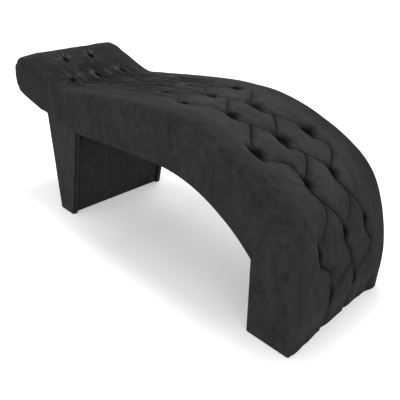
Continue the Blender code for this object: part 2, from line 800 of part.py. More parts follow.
def leg_corners(inset, top_drop, low_height):
    """The leg's outline seen from the side, its walls moved in, its top lowered and its foot raised."""
    seat_slope = SEAT_HEADING.y / SEAT_HEADING.x
    outer = SEAT_FROM_HEAD + inset

    def top_height(distance):
        fall = seat_slope * (distance - SEAT_FROM_HEAD)
        return SEAT_HEIGHT + fall - top_drop * math.hypot(1.0, seat_slope)

    def inner_distance(height):
        low = SEAT_FROM_HEAD + LEG_FOOT_LENGTH + LEG_LEAN * (height - STAND)
        return low - inset * math.hypot(1.0, LEG_LEAN)

    height_at_outer = top_height(0.0)
    meeting = (inner_distance(0.0) + LEG_LEAN * height_at_outer) / (1.0 - LEG_LEAN * seat_slope)
    return [
        Vector((outer, low_height)),
        Vector((inner_distance(low_height), low_height)),
        Vector((meeting, top_height(meeting))),
        Vector((outer, top_height(outer))),
    ]


def make_leg_ends():
    """The two end panels: a board in a cloth cover that is open to the inside and at the top."""
    outline = leg_corners(0.0, GAP, STAND)
    pocket = leg_corners(LEG_COVER_THICKNESS, -OVERRUN, STAND + LEG_COVER_THICKNESS)
    skin = LEG_COVER_THICKNESS + GAP
    board = leg_corners(skin, GAP, STAND + skin)
    thickness = skin + LEG_END_THICKNESS
    depth = GAP + LEG_END_THICKNESS + OVERRUN
    for side, name in ((-1, "near"), (1, "far")):
        y = side * (LEG_WIDTH - thickness) / 2
        cover = extruded("leg_end_cover_" + name, outline, thickness, y)
        y = side * (LEG_WIDTH / 2 - LEG_COVER_THICKNESS - depth / 2)
        cut(cover, as_cutter(extruded("leg_pocket_" + name, pocket, depth, y, cutters)))
        finished(cover, SUEDE)
        y = side * (LEG_WIDTH / 2 - skin - LEG_END_THICKNESS / 2)
        finished(extruded("leg_end_board_" + name, board, LEG_END_THICKNESS, y), PLYWOOD)
    return LEG_WIDTH - 2 * (thickness + GAP)


def make_leg_walls(width):
    """Walls, bottom and top plate between the end panels, in a cover wrapped under the bottom."""
    cover = extruded("leg_wall_cover", leg_corners(LEG_WALL_RECESS, GAP, STAND), width)
    inset = LEG_WALL_RECESS + LEG_COVER_THICKNESS
    hollow = leg_corners(inset, -OVERRUN, STAND + LEG_COVER_THICKNESS)
    cut(cover, as_cutter(extruded("leg_hollow", hollow, width + 2 * OVERRUN, home=cutters)))
    finished(cover, SUEDE)
    inset += GAP
    low = STAND + LEG_COVER_THICKNESS + GAP
    floor = low + LEG_WALL_THICKNESS
    plate_drop = GAP + LEG_PLATE_THICKNESS
    under_seat = leg_corners(inset, GAP, low)
    under_plate = leg_corners(inset, plate_drop, low)
    over_bottom = leg_corners(inset, GAP, floor)
    plate_outline = [under_plate[3], under_plate[2], under_seat[2], under_seat[3]]
    plate = finished(extruded("leg_top_plate", plate_outline, width), PLYWOOD)
    bottom_outline = [under_seat[0], under_seat[1], over_bottom[1], over_bottom[0]]
    bottom = finished(extruded("leg_bottom_board", bottom_outline, width), PLYWOOD)
    wall = leg_corners(inset, plate_drop + GAP, floor + GAP)
    within = leg_corners(inset + LEG_WALL_THICKNESS, plate_drop + GAP, floor + GAP)
    head_side = [wall[0], within[0], within[3], wall[3]]
    finished(extruded("leg_outer_board", head_side, width), PLYWOOD)
    foot_side = [within[1], wall[1], wall[2], within[2]]
    finished(extruded("leg_inner_board", foot_side, width), PLYWOOD)
    return plate, [cover, bottom], (under_seat[0].x + under_seat[1].x) / 2


def make_bolts(drilled):
    """Four bolts square to the seat, with their heads under the leg's top plate."""
    upward = in_space((-SEAT_HEADING.y, SEAT_HEADING.x)) - in_space((0.0, 0.0))
    reach = BELLY_THICKNESS + GAP + LEG_RAIL_HEIGHT * BOLT_GRIP_SHARE
    washer_top = -(GAP + LEG_PLATE_THICKNESS + GAP)
    washer_under = washer_top - BOLT_WASHER_THICKNESS
    head_under = washer_under - BOLT_HEAD_HEIGHT
    profile = [
        (0.0, reach),
        (BOLT_RADIUS, reach),
        (BOLT_RADIUS, washer_top),
        (BOLT_WASHER_RADIUS, washer_top),
        (BOLT_WASHER_RADIUS, washer_under),
        (BOLT_HEAD_RADIUS, washer_under),
        (BOLT_HEAD_RADIUS, head_under),
        (0.0, head_under),
    ]
    bores = []
    count = 0
    for share in BOLT_SHARES:
        for side in (-1, 1):
            count += 1
            seat = in_space(seat_point(share, 0.0), side * (WIDTH / 2 - BOLT_FROM_SIDE))
            bolt = finished(turned(f"leg_bolt_{count}", profile, BOLT_SIDES), STEEL)
            bolt.location = seat
            bolt.rotation_euler = upward.to_track_quat("Z", "Y").to_euler()
            length = 2 * (LEG_RAIL_HEIGHT + BELLY_THICKNESS + OVERRUN)
            bores.append((seat, upward, length))
    cutter = cylinders("bolt_bores", BOLT_RADIUS + BOLT_CLEARANCE, BOLT_SIDES, bores)
    for board in drilled:
        cut(board, cutter)


def make_glides(base_board, base_span, leg_bottom, leg_middle):
    """Domed glides, each nailed up into the board that stands on it, at the leg through its cover."""
    top = STAND - GAP
    edge = top * GLIDE_EDGE_SHARE
    profile = [
        (0.0, top + NAIL_LENGTH),
        (NAIL_RADIUS, top + NAIL_LENGTH),
        (NAIL_RADIUS, top),
        (GLIDE_RADIUS, top),
        (GLIDE_RADIUS, edge),
        (GLIDE_RADIUS - edge, 0.0),
        (0.0, 0.0),
    ]
    start, end = base_span
    columns = [
        ("foot_glide", [base_board], (start + GLIDE_FROM_EDGE, end - GLIDE_FROM_EDGE)),
        ("leg_glide", leg_bottom, (leg_middle,)),
    ]
    for stem, nailed, distances in columns:
        places = [
            in_space((distance, 0.0), side * (WIDTH / 2 - GLIDE_FROM_SIDE))
            for distance in distances
            for side in (-1, 1)
        ]
        for count, place in enumerate(places, 1):
            glide = finished(turned(f"{stem}_{count}", profile, GLIDE_SIDES), PLASTIC)
            glide.location = place
        up = Vector((0.0, 0.0, 1.0))
        length = 2 * (STAND + NAIL_LENGTH + GAP)
        bores = [(place, up, length) for place in places]
        cutter = cylinders(stem + "_bores", NAIL_RADIUS + NAIL_CLEARANCE, TIE_SIDES, bores)
        for piece in nailed:
            cut(piece, cutter)


def make_bed():
    make_ribs()
    make_head_board()
    base_board, base_span = make_foot_boards()
    belly = make_belly_panel()
    make_cross_rails()
    rails = make_leg_rails()
    deck = bent_sheet("deck_panel", DECK_DEPTH, DECK_THICKNESS, PLYWOOD)
    foam = bent_sheet("foam_slab", FOAM_DEPTH, FOAM_THICKNESS, FOAM)
    make_cover()
    make_ties(foam, deck)
    plate, leg_bottom, leg_middle = make_leg_walls(make_leg_ends())
    make_bolts([plate, belly, *rails])
    make_glides(base_board, base_span, leg_bottom, leg_middle)
    bpy.context.view_layer.update()


make_bed()
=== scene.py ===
# %% [markdown]
# An upholstered treatment bed, dressed for the camera.
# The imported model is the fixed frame: ribs, rails, boards and bolts at their real size. This script makes
# what the eye sees on them: the blind-tufted suede cover, the cloth on the leg and under the arch, the
# staples that hold it, and a finish for every piece. Units are metres and +Z is up.

# %% Load the frame
import json
import math

import bmesh
import bpy
import numpy as np
from mathutils import Matrix, Vector, noise
from mathutils.geometry import delaunay_2d_cdt, interpolate_bezier

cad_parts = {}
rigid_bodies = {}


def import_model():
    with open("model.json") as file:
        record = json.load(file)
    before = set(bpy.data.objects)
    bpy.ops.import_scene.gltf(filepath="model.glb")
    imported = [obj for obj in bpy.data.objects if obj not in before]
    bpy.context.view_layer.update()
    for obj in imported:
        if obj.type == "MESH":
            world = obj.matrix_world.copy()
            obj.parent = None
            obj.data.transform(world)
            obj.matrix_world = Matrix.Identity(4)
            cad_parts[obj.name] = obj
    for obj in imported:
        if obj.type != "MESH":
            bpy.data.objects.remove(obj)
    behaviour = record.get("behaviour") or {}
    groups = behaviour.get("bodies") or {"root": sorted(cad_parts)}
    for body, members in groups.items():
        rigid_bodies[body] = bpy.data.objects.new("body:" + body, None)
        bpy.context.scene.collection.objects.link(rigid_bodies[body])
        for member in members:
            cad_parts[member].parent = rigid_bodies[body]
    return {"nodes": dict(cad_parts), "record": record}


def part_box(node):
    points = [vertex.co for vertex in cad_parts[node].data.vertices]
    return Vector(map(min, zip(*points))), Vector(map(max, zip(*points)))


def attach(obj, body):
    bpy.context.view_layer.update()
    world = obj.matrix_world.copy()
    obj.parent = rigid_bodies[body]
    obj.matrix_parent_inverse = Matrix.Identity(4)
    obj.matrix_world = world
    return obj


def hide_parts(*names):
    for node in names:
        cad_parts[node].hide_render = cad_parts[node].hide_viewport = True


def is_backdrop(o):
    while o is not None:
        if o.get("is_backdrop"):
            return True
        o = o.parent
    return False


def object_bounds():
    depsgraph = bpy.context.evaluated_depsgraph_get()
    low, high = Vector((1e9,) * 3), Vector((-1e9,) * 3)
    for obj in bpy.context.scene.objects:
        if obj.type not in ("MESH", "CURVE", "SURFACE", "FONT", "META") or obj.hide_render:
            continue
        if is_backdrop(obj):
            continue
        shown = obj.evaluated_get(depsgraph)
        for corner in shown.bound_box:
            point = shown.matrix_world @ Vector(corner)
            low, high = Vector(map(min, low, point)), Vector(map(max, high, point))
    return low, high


for old in list(bpy.data.objects):
    bpy.data.objects.remove(old)
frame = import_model()
cad_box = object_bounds()
bed_low, bed_high = cad_box
LENGTH = bed_high.x - bed_low.x
WIDTH = bed_high.y - bed_low.y
HEAD_END = bed_low.x
MM = 0.001
print(f"frame: {len(frame['nodes'])} nodes, {LENGTH / MM:.0f} x {WIDTH / MM:.0f} mm")

# %% [markdown]
# The photograph was taken with a plain lens from above the foot's near corner. Lines along the bed and
# across it meet at two vanishing points, and those give the lens and the turn of the camera. The camera
# comes first, because everything is compared from here.

# %% Camera
LENS, SENSOR_WIDTH = 42.03, 36.0
CAMERA_PLACE = (1.5055, -1.316, 1.212)
CAMERA_RIGHT, CAMERA_AHEAD = (0.6987, 0.7154, 0.0), (-0.6335, 0.6187, -0.4646)

camera_data = bpy.data.cameras.new("studio_camera")
camera_data.lens = LENS
camera_data.sensor_width = SENSOR_WIDTH
camera = bpy.data.objects.new("studio_camera", camera_data)
bpy.context.scene.collection.objects.link(camera)
right, ahead = Vector(CAMERA_RIGHT).normalized(), Vector(CAMERA_AHEAD).normalized()
camera_turn = Matrix((right, right.cross(ahead), -ahead)).transposed().to_4x4()
camera.matrix_world = Matrix.Translation(CAMERA_PLACE) @ camera_turn
bpy.context.scene.camera = camera
print("camera at", [round(value, 3) for value in camera.location])

# %% [markdown]
# Two lines seen from the side carry the whole shape. The top line rises over the head end, dips at the
# waist, swells to the crest and falls to the floor. The belly line is the head's underside, the leg's
# seat, the arch and the back of the foot. Cubic curves through a few knots draw both, as a template maker
# would with a spline, and the same knots shaped the frame's ribs.

# %% The top line
STAND, CURVE_STEPS, QUARTER_CIRCLE = 0.003, 64, 0.5523
HEAD_HEIGHT, HEAD_LOWER_HEIGHT, HEAD_UNDERCUT, HEAD_ROUND = 0.760, 0.590, 0.044, 0.052
HEAD_SLOPE, BEND_SLOPE = math.radians(5.0), math.radians(28.3)
# the padded face's lower edge lies this far out from the head board's, along the underside
FACE_FULL = 0.028
WAIST, CREST = Vector((0.420, 0.660)), Vector((LENGTH - 0.658, 0.719))
BEND, FOOT_TOP = Vector((LENGTH - 0.176, 0.566)), Vector((LENGTH, 0.102))
# how far each curve runs straight on from its knot, like the handles of a drawn spline
FACE_SHARE, QUARTER_REACH = 0.18, QUARTER_CIRCLE * HEAD_ROUND
HEAD_REACH, WAIST_REACH, FOOT_REACH = 0.135, 0.105, 0.220
CREST_REACH_BACK, CREST_REACH_ON, BEND_REACH_BACK, BEND_REACH_ON = 0.298, 0.200, 0.145, 0.119


def across_down(reach, slope):
    return Vector((reach * math.cos(slope), -reach * math.sin(slope)))


def curve_through(knots):
    """Points along cubic curves; a knot is (place, way in, way out)."""
    line = [Vector(knots[0][0])]
    for (start, _, way_out), (end, way_in, _) in zip(knots, knots[1:]):
        line += interpolate_bezier(start, start + way_out, end + way_in, end, CURVE_STEPS)[1:]
    return [Vector((point[0], point[1])) for point in line]


frame_low, seat_start = Vector((HEAD_UNDERCUT, HEAD_LOWER_HEIGHT)), Vector((0.302, 0.527))
face_low = frame_low + (frame_low - seat_start).normalized() * FACE_FULL
face_top, head_top = Vector((0.0, HEAD_HEIGHT - HEAD_ROUND)), Vector((HEAD_ROUND, HEAD_HEIGHT))
none = Vector((0.0, 0.0))
top_knots = [
    (face_low, none, (face_top - face_low) * FACE_SHARE),
    (face_top, Vector((0.0, -HEAD_ROUND)), Vector((0.0, QUARTER_REACH))),
    (head_top, across_down(-QUARTER_REACH, HEAD_SLOPE), across_down(HEAD_REACH, HEAD_SLOPE)),
    (WAIST, Vector((-WAIST_REACH, 0.0)), Vector((WAIST_REACH, 0.0))),
    (CREST, Vector((-CREST_REACH_BACK, 0.0)), Vector((CREST_REACH_ON, 0.0))),
    (BEND, across_down(-BEND_REACH_BACK, BEND_SLOPE), across_down(BEND_REACH_ON, BEND_SLOPE)),
    (FOOT_TOP, Vector((0.0, FOOT_REACH)), none),
    (Vector((LENGTH, STAND)), none, none),
]
top_line = np.array(curve_through(top_knots))
top_marks = np.concatenate(([0.0], np.cumsum(np.linalg.norm(np.diff(top_line, axis=0), axis=1))))
face_end, top_start, bend_mark = (top_marks[knot * (CURVE_STEPS - 1)] for knot in (1, 2, 5))
top_length = top_marks[-1]
print(f"top line: {top_length:.3f} m, face ends at {face_end:.3f}, rounding at {top_start:.3f}")

# %% Places and directions along the top line
HEADING_RUN = HEAD_ROUND / 8


def top_place(along):
    """Side-view places at distances along the top line, as an array of (distance, height)."""
    return np.stack([np.interp(along, top_marks, top_line[:, i]) for i in (0, 1)], axis=-1)


def top_inward(along):
    """Unit directions into the bed, square to the top line."""
    ahead = top_place(np.minimum(along + HEADING_RUN, top_length))
    run = ahead - top_place(np.maximum(along - HEADING_RUN, 0.0))
    run /= np.linalg.norm(run, axis=-1, keepdims=True)
    return np.stack([run[..., 1], -run[..., 0]], axis=-1)

# %% The belly line
FOOT_DEPTH, CROWN_BACK, BELLY_STEP = 0.205, 0.678, 9 * MM
ARCH_START_SLOPE, FOOT_CORNER_SLOPE = math.radians(3.6), math.radians(47.0)
ARCH_START_REACH, CROWN_REACH_BACK, CROWN_REACH_ON, FOOT_CORNER_REACH = 0.195, 0.194, 0.160, 0.209
seat_end = Vector((0.548, 0.4945))
arch_crown, foot_corner = Vector((LENGTH - CROWN_BACK, 0.520)), Vector((LENGTH - FOOT_DEPTH, 0.315))
belly_knots = [
    (seat_end, none, across_down(ARCH_START_REACH, -ARCH_START_SLOPE)),
    (arch_crown, Vector((-CROWN_REACH_BACK, 0.0)), Vector((CROWN_REACH_ON, 0.0))),
    (foot_corner, across_down(-FOOT_CORNER_REACH, FOOT_CORNER_SLOPE), none),
]
arch = curve_through(belly_knots)
belly_corners = [face_low, seat_start, *arch, Vector((foot_corner.x, STAND))]


def evened(points, step):
    """The same line with points about a step apart; its corners stay where they are."""
    line = [points[0]]
    for start, end in zip(points, points[1:]):
        count = max(1, round((end - start).length / step))
        line += [start.lerp(end, (index + 1) / count) for index in range(count)]
    return line


def offset_line(points, distance):
    """The line moved up into the bed, mitred at its corners."""
    moved = []
    for index, point in enumerate(points):
        before = point - points[index - 1] if index else points[1] - points[0]
        after = points[index + 1] - point if index + 1 < len(points) else before
        before, after = before.normalized(), after.normalized()
        upward = Vector((-before.y - after.y, before.x + after.x)).normalized()
        moved.append(point + upward * distance / math.cos(before.angle(after) / 2))
    return moved


belly_line = evened(belly_corners, BELLY_STEP)
print(f"belly line: {len(belly_line)} points")

# %% How far the lines lie from the frame
BELLY_BELOW, BESIDE_LINE = 0.53, 0.03


def in_bed(point, y=0.0):
    return Vector((point[0] + HEAD_END, y, point[1]))


def distance_from(line, place):
    """Distance of a side-view place from a line of short runs."""
    gaps = []
    for start, end in zip(line, line[1:]):
        run = end - start
        share = min(max((place - start).dot(run) / run.dot(run), 0.0), 1.0)
        gaps.append((start + run * share - place).length)
    return min(gaps)


def on_low_rim(place):
    return abs(abs(place.y) - WIDTH / 2) < MM and place.z < BELLY_BELOW


cover_places = [v.co for v in frame["nodes"]["tufted_cover"].data.vertices]
rim_places = [Vector((place.x - HEAD_END, place.z)) for place in cover_places if on_low_rim(place)]
rim_gaps = [gap for gap in (distance_from(belly_line, place) for place in rim_places) if gap < BESIDE_LINE]
print(f"belly line against the frame: {max(rim_gaps) / MM:.1f} mm at worst, on {len(rim_gaps)} points")

# %% [markdown]
# The cover is blind tufted: twine pulls the cloth down through the foam, and no button shows. The slack
# between the tufts lies in pleats. Deep diamond tufting is laid out on a flat sheet first, so the whole
# quilt is drawn here on a plane: the distance along the top line, and the distance across the cloth. The
# tufts stand in rows of two and rows of three. The two pleats that leave a tuft share a stem that swings to
# the far side and then splits: one goes on to the far neighbour, the other turns back late to the near one.

# %% Tufts and pleats on the flat sheet
TUFT_ROWS = 11
TUFT_COLUMNS = ((-1, 1), (-2, 0, 2))
TUFT_SPREAD, HEAD_PLAIN, FOOT_PLAIN = 0.154, 0.105, 0.171
COLUMN_STEP = TUFT_SPREAD / 2
FIRST_TUFT = top_start + HEAD_PLAIN
ROW_STEP = (top_length - FOOT_PLAIN - FIRST_TUFT) / (TUFT_ROWS - 1)
# shares of the way to the next row: where the stem ends, and where the outermost fold crosses
STEM_END, EDGE_CROSSING = 0.90, (0.05, 0.52)
# where the near fold leaves the stem, and how late it turns: as far as the crest, and below it
BRANCHES = ((0.30, 0.85), (0.38, 1.4))
BELOW_CREST = 7
PLEAT_STEP = 3.5 * MM
# how far some tufts sit from their even places, along and across, in mm
HAND_SHIFTS = {
    (0, -1): (12, -8), (0, 1): (12, -8), (1, -2): (-4, -8), (1, 0): (-4, -10), (1, 2): (-4, -14),
    (5, -2): (5, 0), (5, 0): (5, 0), (6, -1): (0, -13), (6, 1): (-8, -18),
    (7, -2): (12, -24), (7, 0): (2, -20), (7, 2): (4, -19), (8, -1): (-10, -16), (8, 1): (-3, -14),
    (9, -2): (30, -8), (9, 0): (15, 8), (9, 2): (15, -8), (10, -1): (16, -19), (10, 1): (18, -15),
}
FAR_SHIFT = 8 * MM
# how deep the folds are in mm, row by row from the head end, and at the floor
CREASE_DEPTHS = (1.0, 1.2, 1.6, 2.0, 3.0, 6.0, 8.5, 10.0, 10.0, 8.5, 7.5)
FLOOR_CREASE = 9

tufts = [(row, column) for row in range(TUFT_ROWS) for column in TUFT_COLUMNS[row % 2]]


def eased(value):
    value = np.clip(value, 0.0, 1.0)
    return value * value * (3 - 2 * value)


def flat_place(row, column):
    """A tuft's place on the sheet, with the small shifts of handwork that the photograph shows."""
    even = (FIRST_TUFT + row * ROW_STEP, column * COLUMN_STEP - FAR_SHIFT * (column + 2) / 4)
    return np.array(even) + np.array(HAND_SHIFTS.get((row, column), (0, 0))) * MM


def pleat_line(row, column, side):
    """The S-shaped fold from a tuft to its neighbour in the next row."""
    share = np.linspace(0.0, 1.0, round(ROW_STEP / PLEAT_STEP) + 1)
    stem = eased(share / STEM_END)
    if side < 0:
        split, power = BRANCHES[row >= BELOW_CREST]
        swing = eased(split / STEM_END)
        turned = (1 + swing) * eased((share - split) / (1 - split)) ** power - swing
        crossed = np.where(share < split, -stem, turned)
    elif column == -2:
        start, end = EDGE_CROSSING
        crossed = eased((share - start) / (end - start))
    else:
        crossed = stem
    first, last = flat_place(row, column), flat_place(row + 1, column + side)
    return first + (last - first) * np.stack([share, crossed], axis=-1)


def last_line(column):
    """The fold from a tuft of the last row down to the floor."""
    start = flat_place(TUFT_ROWS - 1, column)
    run = top_length - start[0]
    share = np.linspace(0.0, 1.0, round(run / PLEAT_STEP) + 1)[:, None]
    return start + share * np.array([run, 0.0])


# each fold is a line with its depth at the head end and at the foot end
folds = [
    (pleat_line(row, column, side), CREASE_DEPTHS[row] * MM, CREASE_DEPTHS[row + 1] * MM)
    for row, column in tufts
    for side in (-1, 1)
    if (row + 1, column + side) in tufts
]
for column in TUFT_COLUMNS[(TUFT_ROWS - 1) % 2]:
    folds.append((last_line(column), CREASE_DEPTHS[-1] * MM, FLOOR_CREASE * MM))
print(f"{len(tufts)} tufts {ROW_STEP:.3f} m apart, {len(folds)} folds")

# %% [markdown]
# Depth comes from distance. A pleat is a thin slit between two rolls: the near roll stands up to it and
# drops steeply, the far one slopes down to it. Round each tuft the cloth is pulled into a pit, longer along
# the bed than across it, with the same steep near side and a core of painted shade right behind its rim.
# Each fold also gets a painted dark line. Where pits and creases come close, the deepest wins, softly. The
# head's padding is firmer and the waist is squeezed, so each row has its own depths.

# %% Depth of the folds
# row by row from the head end: how deep the pits are in mm, and how long and how wide, as shares
PIT_DEPTHS = (27, 27, 13, 15, 20, 28, 31, 32, 32, 31, 30)
PIT_LENGTHS = (0.70, 0.70, 0.35, 0.40, 0.60, 1.00, 1.20, 1.25, 1.15, 1.10, 1.10)
PIT_WIDTHS = (0.55, 0.55, 0.35, 0.40, 0.65, 1.00, 1.20, 1.30, 0.95, 0.70, 0.70)
PIT_HEADWARD, PIT_FOOTWARD, PIT_NEAR, PIT_FAR = 60 * MM, 44 * MM, 15 * MM, 31 * MM
# how round the steep near side and the soft far side of a pit are, and how wide the change between them
STEEP_POWER, SOFT_SIDE_POWER, SIDE_CHANGE = 1.7, 1.25, 30 * MM
# no two pits are alike: their noise, and by how much they stray (in mm), grow and deepen
PIT_NOISE, PIT_SEEDS = (1.7, 2.3), (4.1, 9.2, 14.3)
STRAY_ALONG, STRAY_ACROSS, SIZE_VARIES, DEPTH_VARIES = 7, 5, 0.3, 0.15
# where a pit's core of painted shade lies behind its tuft, its length, and its near and far reach
CORE_BACK, CORE_ACROSS, CORE_LENGTH, CORE_NEAR, CORE_FAR = 8 * MM, 4 * MM, 29 * MM, 7 * MM, 25 * MM
# a pit of the first depth has no painted dark core, one of the second has all of it, in mm
CORE_FROM, CORE_FULL, CORE_FALL = 10, 27, 1.5
CREASE_NEAR, CREASE_FAR, VALLEY_REACH, VALLEY_SHARE = 9 * MM, 32 * MM, 55 * MM, 0.36
NEAR_FALL, FAR_FALL, VALLEY_FALL = 2, 1.8, 2
# a slit's depth and reach, then the strength and width of the painted dark line along it
SLIT_DEPTH, SLIT_REACH, SLIT_DARK, SLIT_SEEN = 5 * MM, 1.2 * MM, 0.65, 2.2 * MM
# depths of a fold at which its slit is whole and its painted line is darkest
WHOLE_SLIT, DARKEST_LINE = 10 * MM, 9 * MM
LIP_SHARE, LIP_PLACE, LIP_REACH = 0.28, 13 * MM, 7 * MM
SOFT_POWER = 5.0


def bell(value, middle, reach):
    """1 at the middle, falling off smoothly on both sides."""
    return np.exp(-(((value - middle) / reach) ** 2))


def signed_gap(points, line):
    """Distances from a chain of short runs, below zero on the near side, and the shares along it."""
    best, signed, share = np.full(len(points), np.inf), np.zeros(len(points)), np.zeros(len(points))
    for index, (start, run) in enumerate(zip(line, np.diff(line, axis=0))):
        away = points - start
        t = np.clip((away @ run) / (run @ run), 0.0, 1.0)
        gap = np.linalg.norm(away - t[:, None] * run, axis=1)
        closer = gap < best
        turn = run[0] * away[:, 1] - run[1] * away[:, 0]
        best[closer] = gap[closer]
        signed[closer] = np.copysign(gap, turn)[closer]
        share[closer] = (index + t[closer]) / (len(line) - 1)
    return signed, share


def crease(gap):
    """Share of a fold's depth at a signed distance from it."""
    near = np.clip(1 + gap / CREASE_NEAR, 0.0, 1.0) ** NEAR_FALL
    far = np.clip(1 - gap / CREASE_FAR, 0.0, 1.0) ** FAR_FALL
    valley = np.clip(1 - np.abs(gap) / VALLEY_REACH, 0.0, 1.0) ** VALLEY_FALL
    return (1 - VALLEY_SHARE) * np.where(gap < 0, near, far) + VALLEY_SHARE * valley


def pit(points, row, column):
    """Depth of one tuft's pit; no two are quite alike."""
    here = (row * PIT_NOISE[0], column * PIT_NOISE[1])
    vary = [noise.noise((*here, seed)) for seed in PIT_SEEDS]
    stray = np.array([vary[0] * STRAY_ALONG * MM, vary[1] * STRAY_ACROSS * MM])
    away = points - flat_place(row, column) - stray
    along = away[:, 0] / np.where(away[:, 0] < 0, PIT_HEADWARD, PIT_FOOTWARD) / PIT_LENGTHS[row]
    across = away[:, 1] / np.where(away[:, 1] < 0, PIT_NEAR, PIT_FAR) / PIT_WIDTHS[row]
    reach = np.hypot(along, across) / (1 + SIZE_VARIES * vary[2])
    steep = 1 - np.clip(reach, 0.0, 1.0) ** STEEP_POWER
    soft = np.clip(1 - reach, 0.0, 1.0) ** SOFT_SIDE_POWER
    far_side = eased(0.5 + away[:, 1] / SIDE_CHANGE)
    deepest = PIT_DEPTHS[row] * MM * (1 + DEPTH_VARIES * vary[1])
    return deepest * (steep * (1 - far_side) + soft * far_side)


def painted_pit_cores(points):
    """Painted shade in the heart of each pit, from 0 to 1: a short slit right behind the near rim."""
    total = np.zeros(len(points))
    for row, column in tufts:
        away = points - flat_place(row, column) + np.array([CORE_BACK, -CORE_ACROSS])
        along = away[:, 0] / (CORE_LENGTH * PIT_LENGTHS[row])
        across = away[:, 1] / np.where(away[:, 1] < 0, CORE_NEAR, CORE_FAR * PIT_WIDTHS[row])
        strength = min(max(PIT_DEPTHS[row] - CORE_FROM, 0) / (CORE_FULL - CORE_FROM), 1.0)
        total = np.maximum(total, np.exp(-np.abs(along) ** 2 - np.abs(across) ** CORE_FALL) * strength)
    return total


def quilting(points):
    """How deep pleats and tufts press each point, the lips beside them, and how much painted shade the slits
    and pits get.
    """
    powers, lips, dark = np.zeros(len(points)), np.zeros(len(points)), painted_pit_cores(points)
    for line, first, last in folds:
        low, high = line.min(axis=0) - VALLEY_REACH, line.max(axis=0) + VALLEY_REACH
        near = np.flatnonzero(np.all((points > low) & (points < high), axis=1))
        gap, share = signed_gap(points[near], line)
        deep = first + (last - first) * share
        slit = SLIT_DEPTH * (deep / WHOLE_SLIT) ** 2 * np.exp(-np.abs(gap) / SLIT_REACH)
        powers[near] += (deep * crease(gap) + slit) ** SOFT_POWER
        lips[near] = np.maximum(lips[near], LIP_SHARE * deep * bell(gap, -LIP_PLACE, LIP_REACH))
        # a painted dark line along each fold, stronger on deeper folds
        line_dark = np.minimum(deep / DARKEST_LINE, 1.0) ** 2 * SLIT_DARK * bell(gap, 0.0, SLIT_SEEN)
        dark[near] = np.maximum(dark[near], line_dark)
    for row, column in tufts:
        near = np.flatnonzero(np.linalg.norm(points - flat_place(row, column), axis=1) < 2 * PIT_HEADWARD)
        powers[near] += pit(points[near], row, column) ** SOFT_POWER
    return powers ** (1 / SOFT_POWER), lips, dark

# %% [markdown]
# The pad has a form of its own besides the quilting. It swells along its plain margins, at the head and
# over the crest, its corners are rounded, and at the foot the cloth is drawn in under the last tufts before
# it meets the floor. Each rise or tuck is a smooth ramp or bell, given by where it begins and its run.

# %% The pad's own form
SHOULDER = 0.042
SHEET_HALF = WIDTH / 2 + SHOULDER * (math.pi / 2 - 1)
EDGE_HELD, EDGE_RUN = 0.02, 0.019
MARGIN_RISE, HEAD_RISE, FACE_RISE, WAIST_RISE = 4.5 * MM, 5 * MM, 6 * MM, 4 * MM
CREST_RISE, FAR_RISE = 3.5 * MM, 6 * MM
FLOOR_TUCK, NEAR_TUCK, BEND_SINK = 21 * MM, 15 * MM, 3 * MM
# where each begins, or its middle, and its run, along the sheet or across it
MARGIN_BEGINS, MARGIN_ENDS = (0.13, 0.06), (0.275, 0.045)
HEAD_BEGINS, HEAD_ENDS = (0.10, 0.05), (0.24, 0.06)
FACE_BEGINS, FACE_ENDS = (0.0, 0.03), (0.08, 0.06)
WAIST_BEGINS, WAIST_ENDS = (0.55, 0.10), (1.20, 0.15)
CREST_SWELL, BEND_HOLLOW = (bend_mark - 0.09, 0.07), (bend_mark + 0.05, 0.05)
NEAR_CORNER, NEAR_SIDE, FAR_CORNER, FAR_SIDE = (0.16, 0.08), (0.13, 0.17), (0.13, 0.055), (-0.05, 0.15)
FLOOR_BEGINS, FOOT_SIDE = (top_length - 0.15, 0.15), (0.20, 0.07)
# how much of the tuck at the floor is missing at the foot's near and far sides
NEAR_FULL, FAR_FULL = 0.20, 0.75
DEEPEST, LIMIT_POWER = 30.5 * MM, 8


def ramp(value, start, run):
    """0 up to the start and 1 after the run, eased between."""
    return eased((value - start) / run)


def window(value, begins, ends):
    """1 between two ramps and 0 outside them."""
    return ramp(value, *begins) * (1 - ramp(value, *ends))


def loose(points):
    """1 on the open sheet and 0 at its long edges, which the side walls hold."""
    return 1 - eased((np.abs(points[:, 1]) - SHEET_HALF + EDGE_HELD) / EDGE_RUN)


def form(points):
    """The pad's own rises, below zero, and the places where it is drawn in, above zero."""
    along, far = points[:, 0], points[:, 1]
    margin = window(np.abs(far), MARGIN_BEGINS, MARGIN_ENDS)
    rise = MARGIN_RISE * margin
    rise += HEAD_RISE * window(along, HEAD_BEGINS, HEAD_ENDS)
    rise += FACE_RISE * window(along, FACE_BEGINS, FACE_ENDS)
    rise += WAIST_RISE * margin * window(along, WAIST_BEGINS, WAIST_ENDS)
    rise += CREST_RISE * bell(along, *CREST_SWELL)
    rise += FAR_RISE * ramp(far, *FAR_SIDE) * bell(along, *FAR_CORNER)
    full = NEAR_FULL * ramp(-far, *FOOT_SIDE) + FAR_FULL * ramp(far, *FOOT_SIDE)
    tuck = FLOOR_TUCK * ramp(along, *FLOOR_BEGINS) * (1 - full)
    tuck += NEAR_TUCK * ramp(-far, *NEAR_SIDE) * bell(along, *NEAR_CORNER)
    tuck += BEND_SINK * bell(along, *BEND_HOLLOW)
    return loose(points) * (tuck - rise)


def limited(depth):
    """Depth held above the hollow under the cover, with a soft bend instead of a flat floor."""
    down = np.maximum(depth, 0.0)
    return np.where(depth > 0, down / (1 + (down / DEEPEST) ** LIMIT_POWER) ** (1 / LIMIT_POWER), depth)
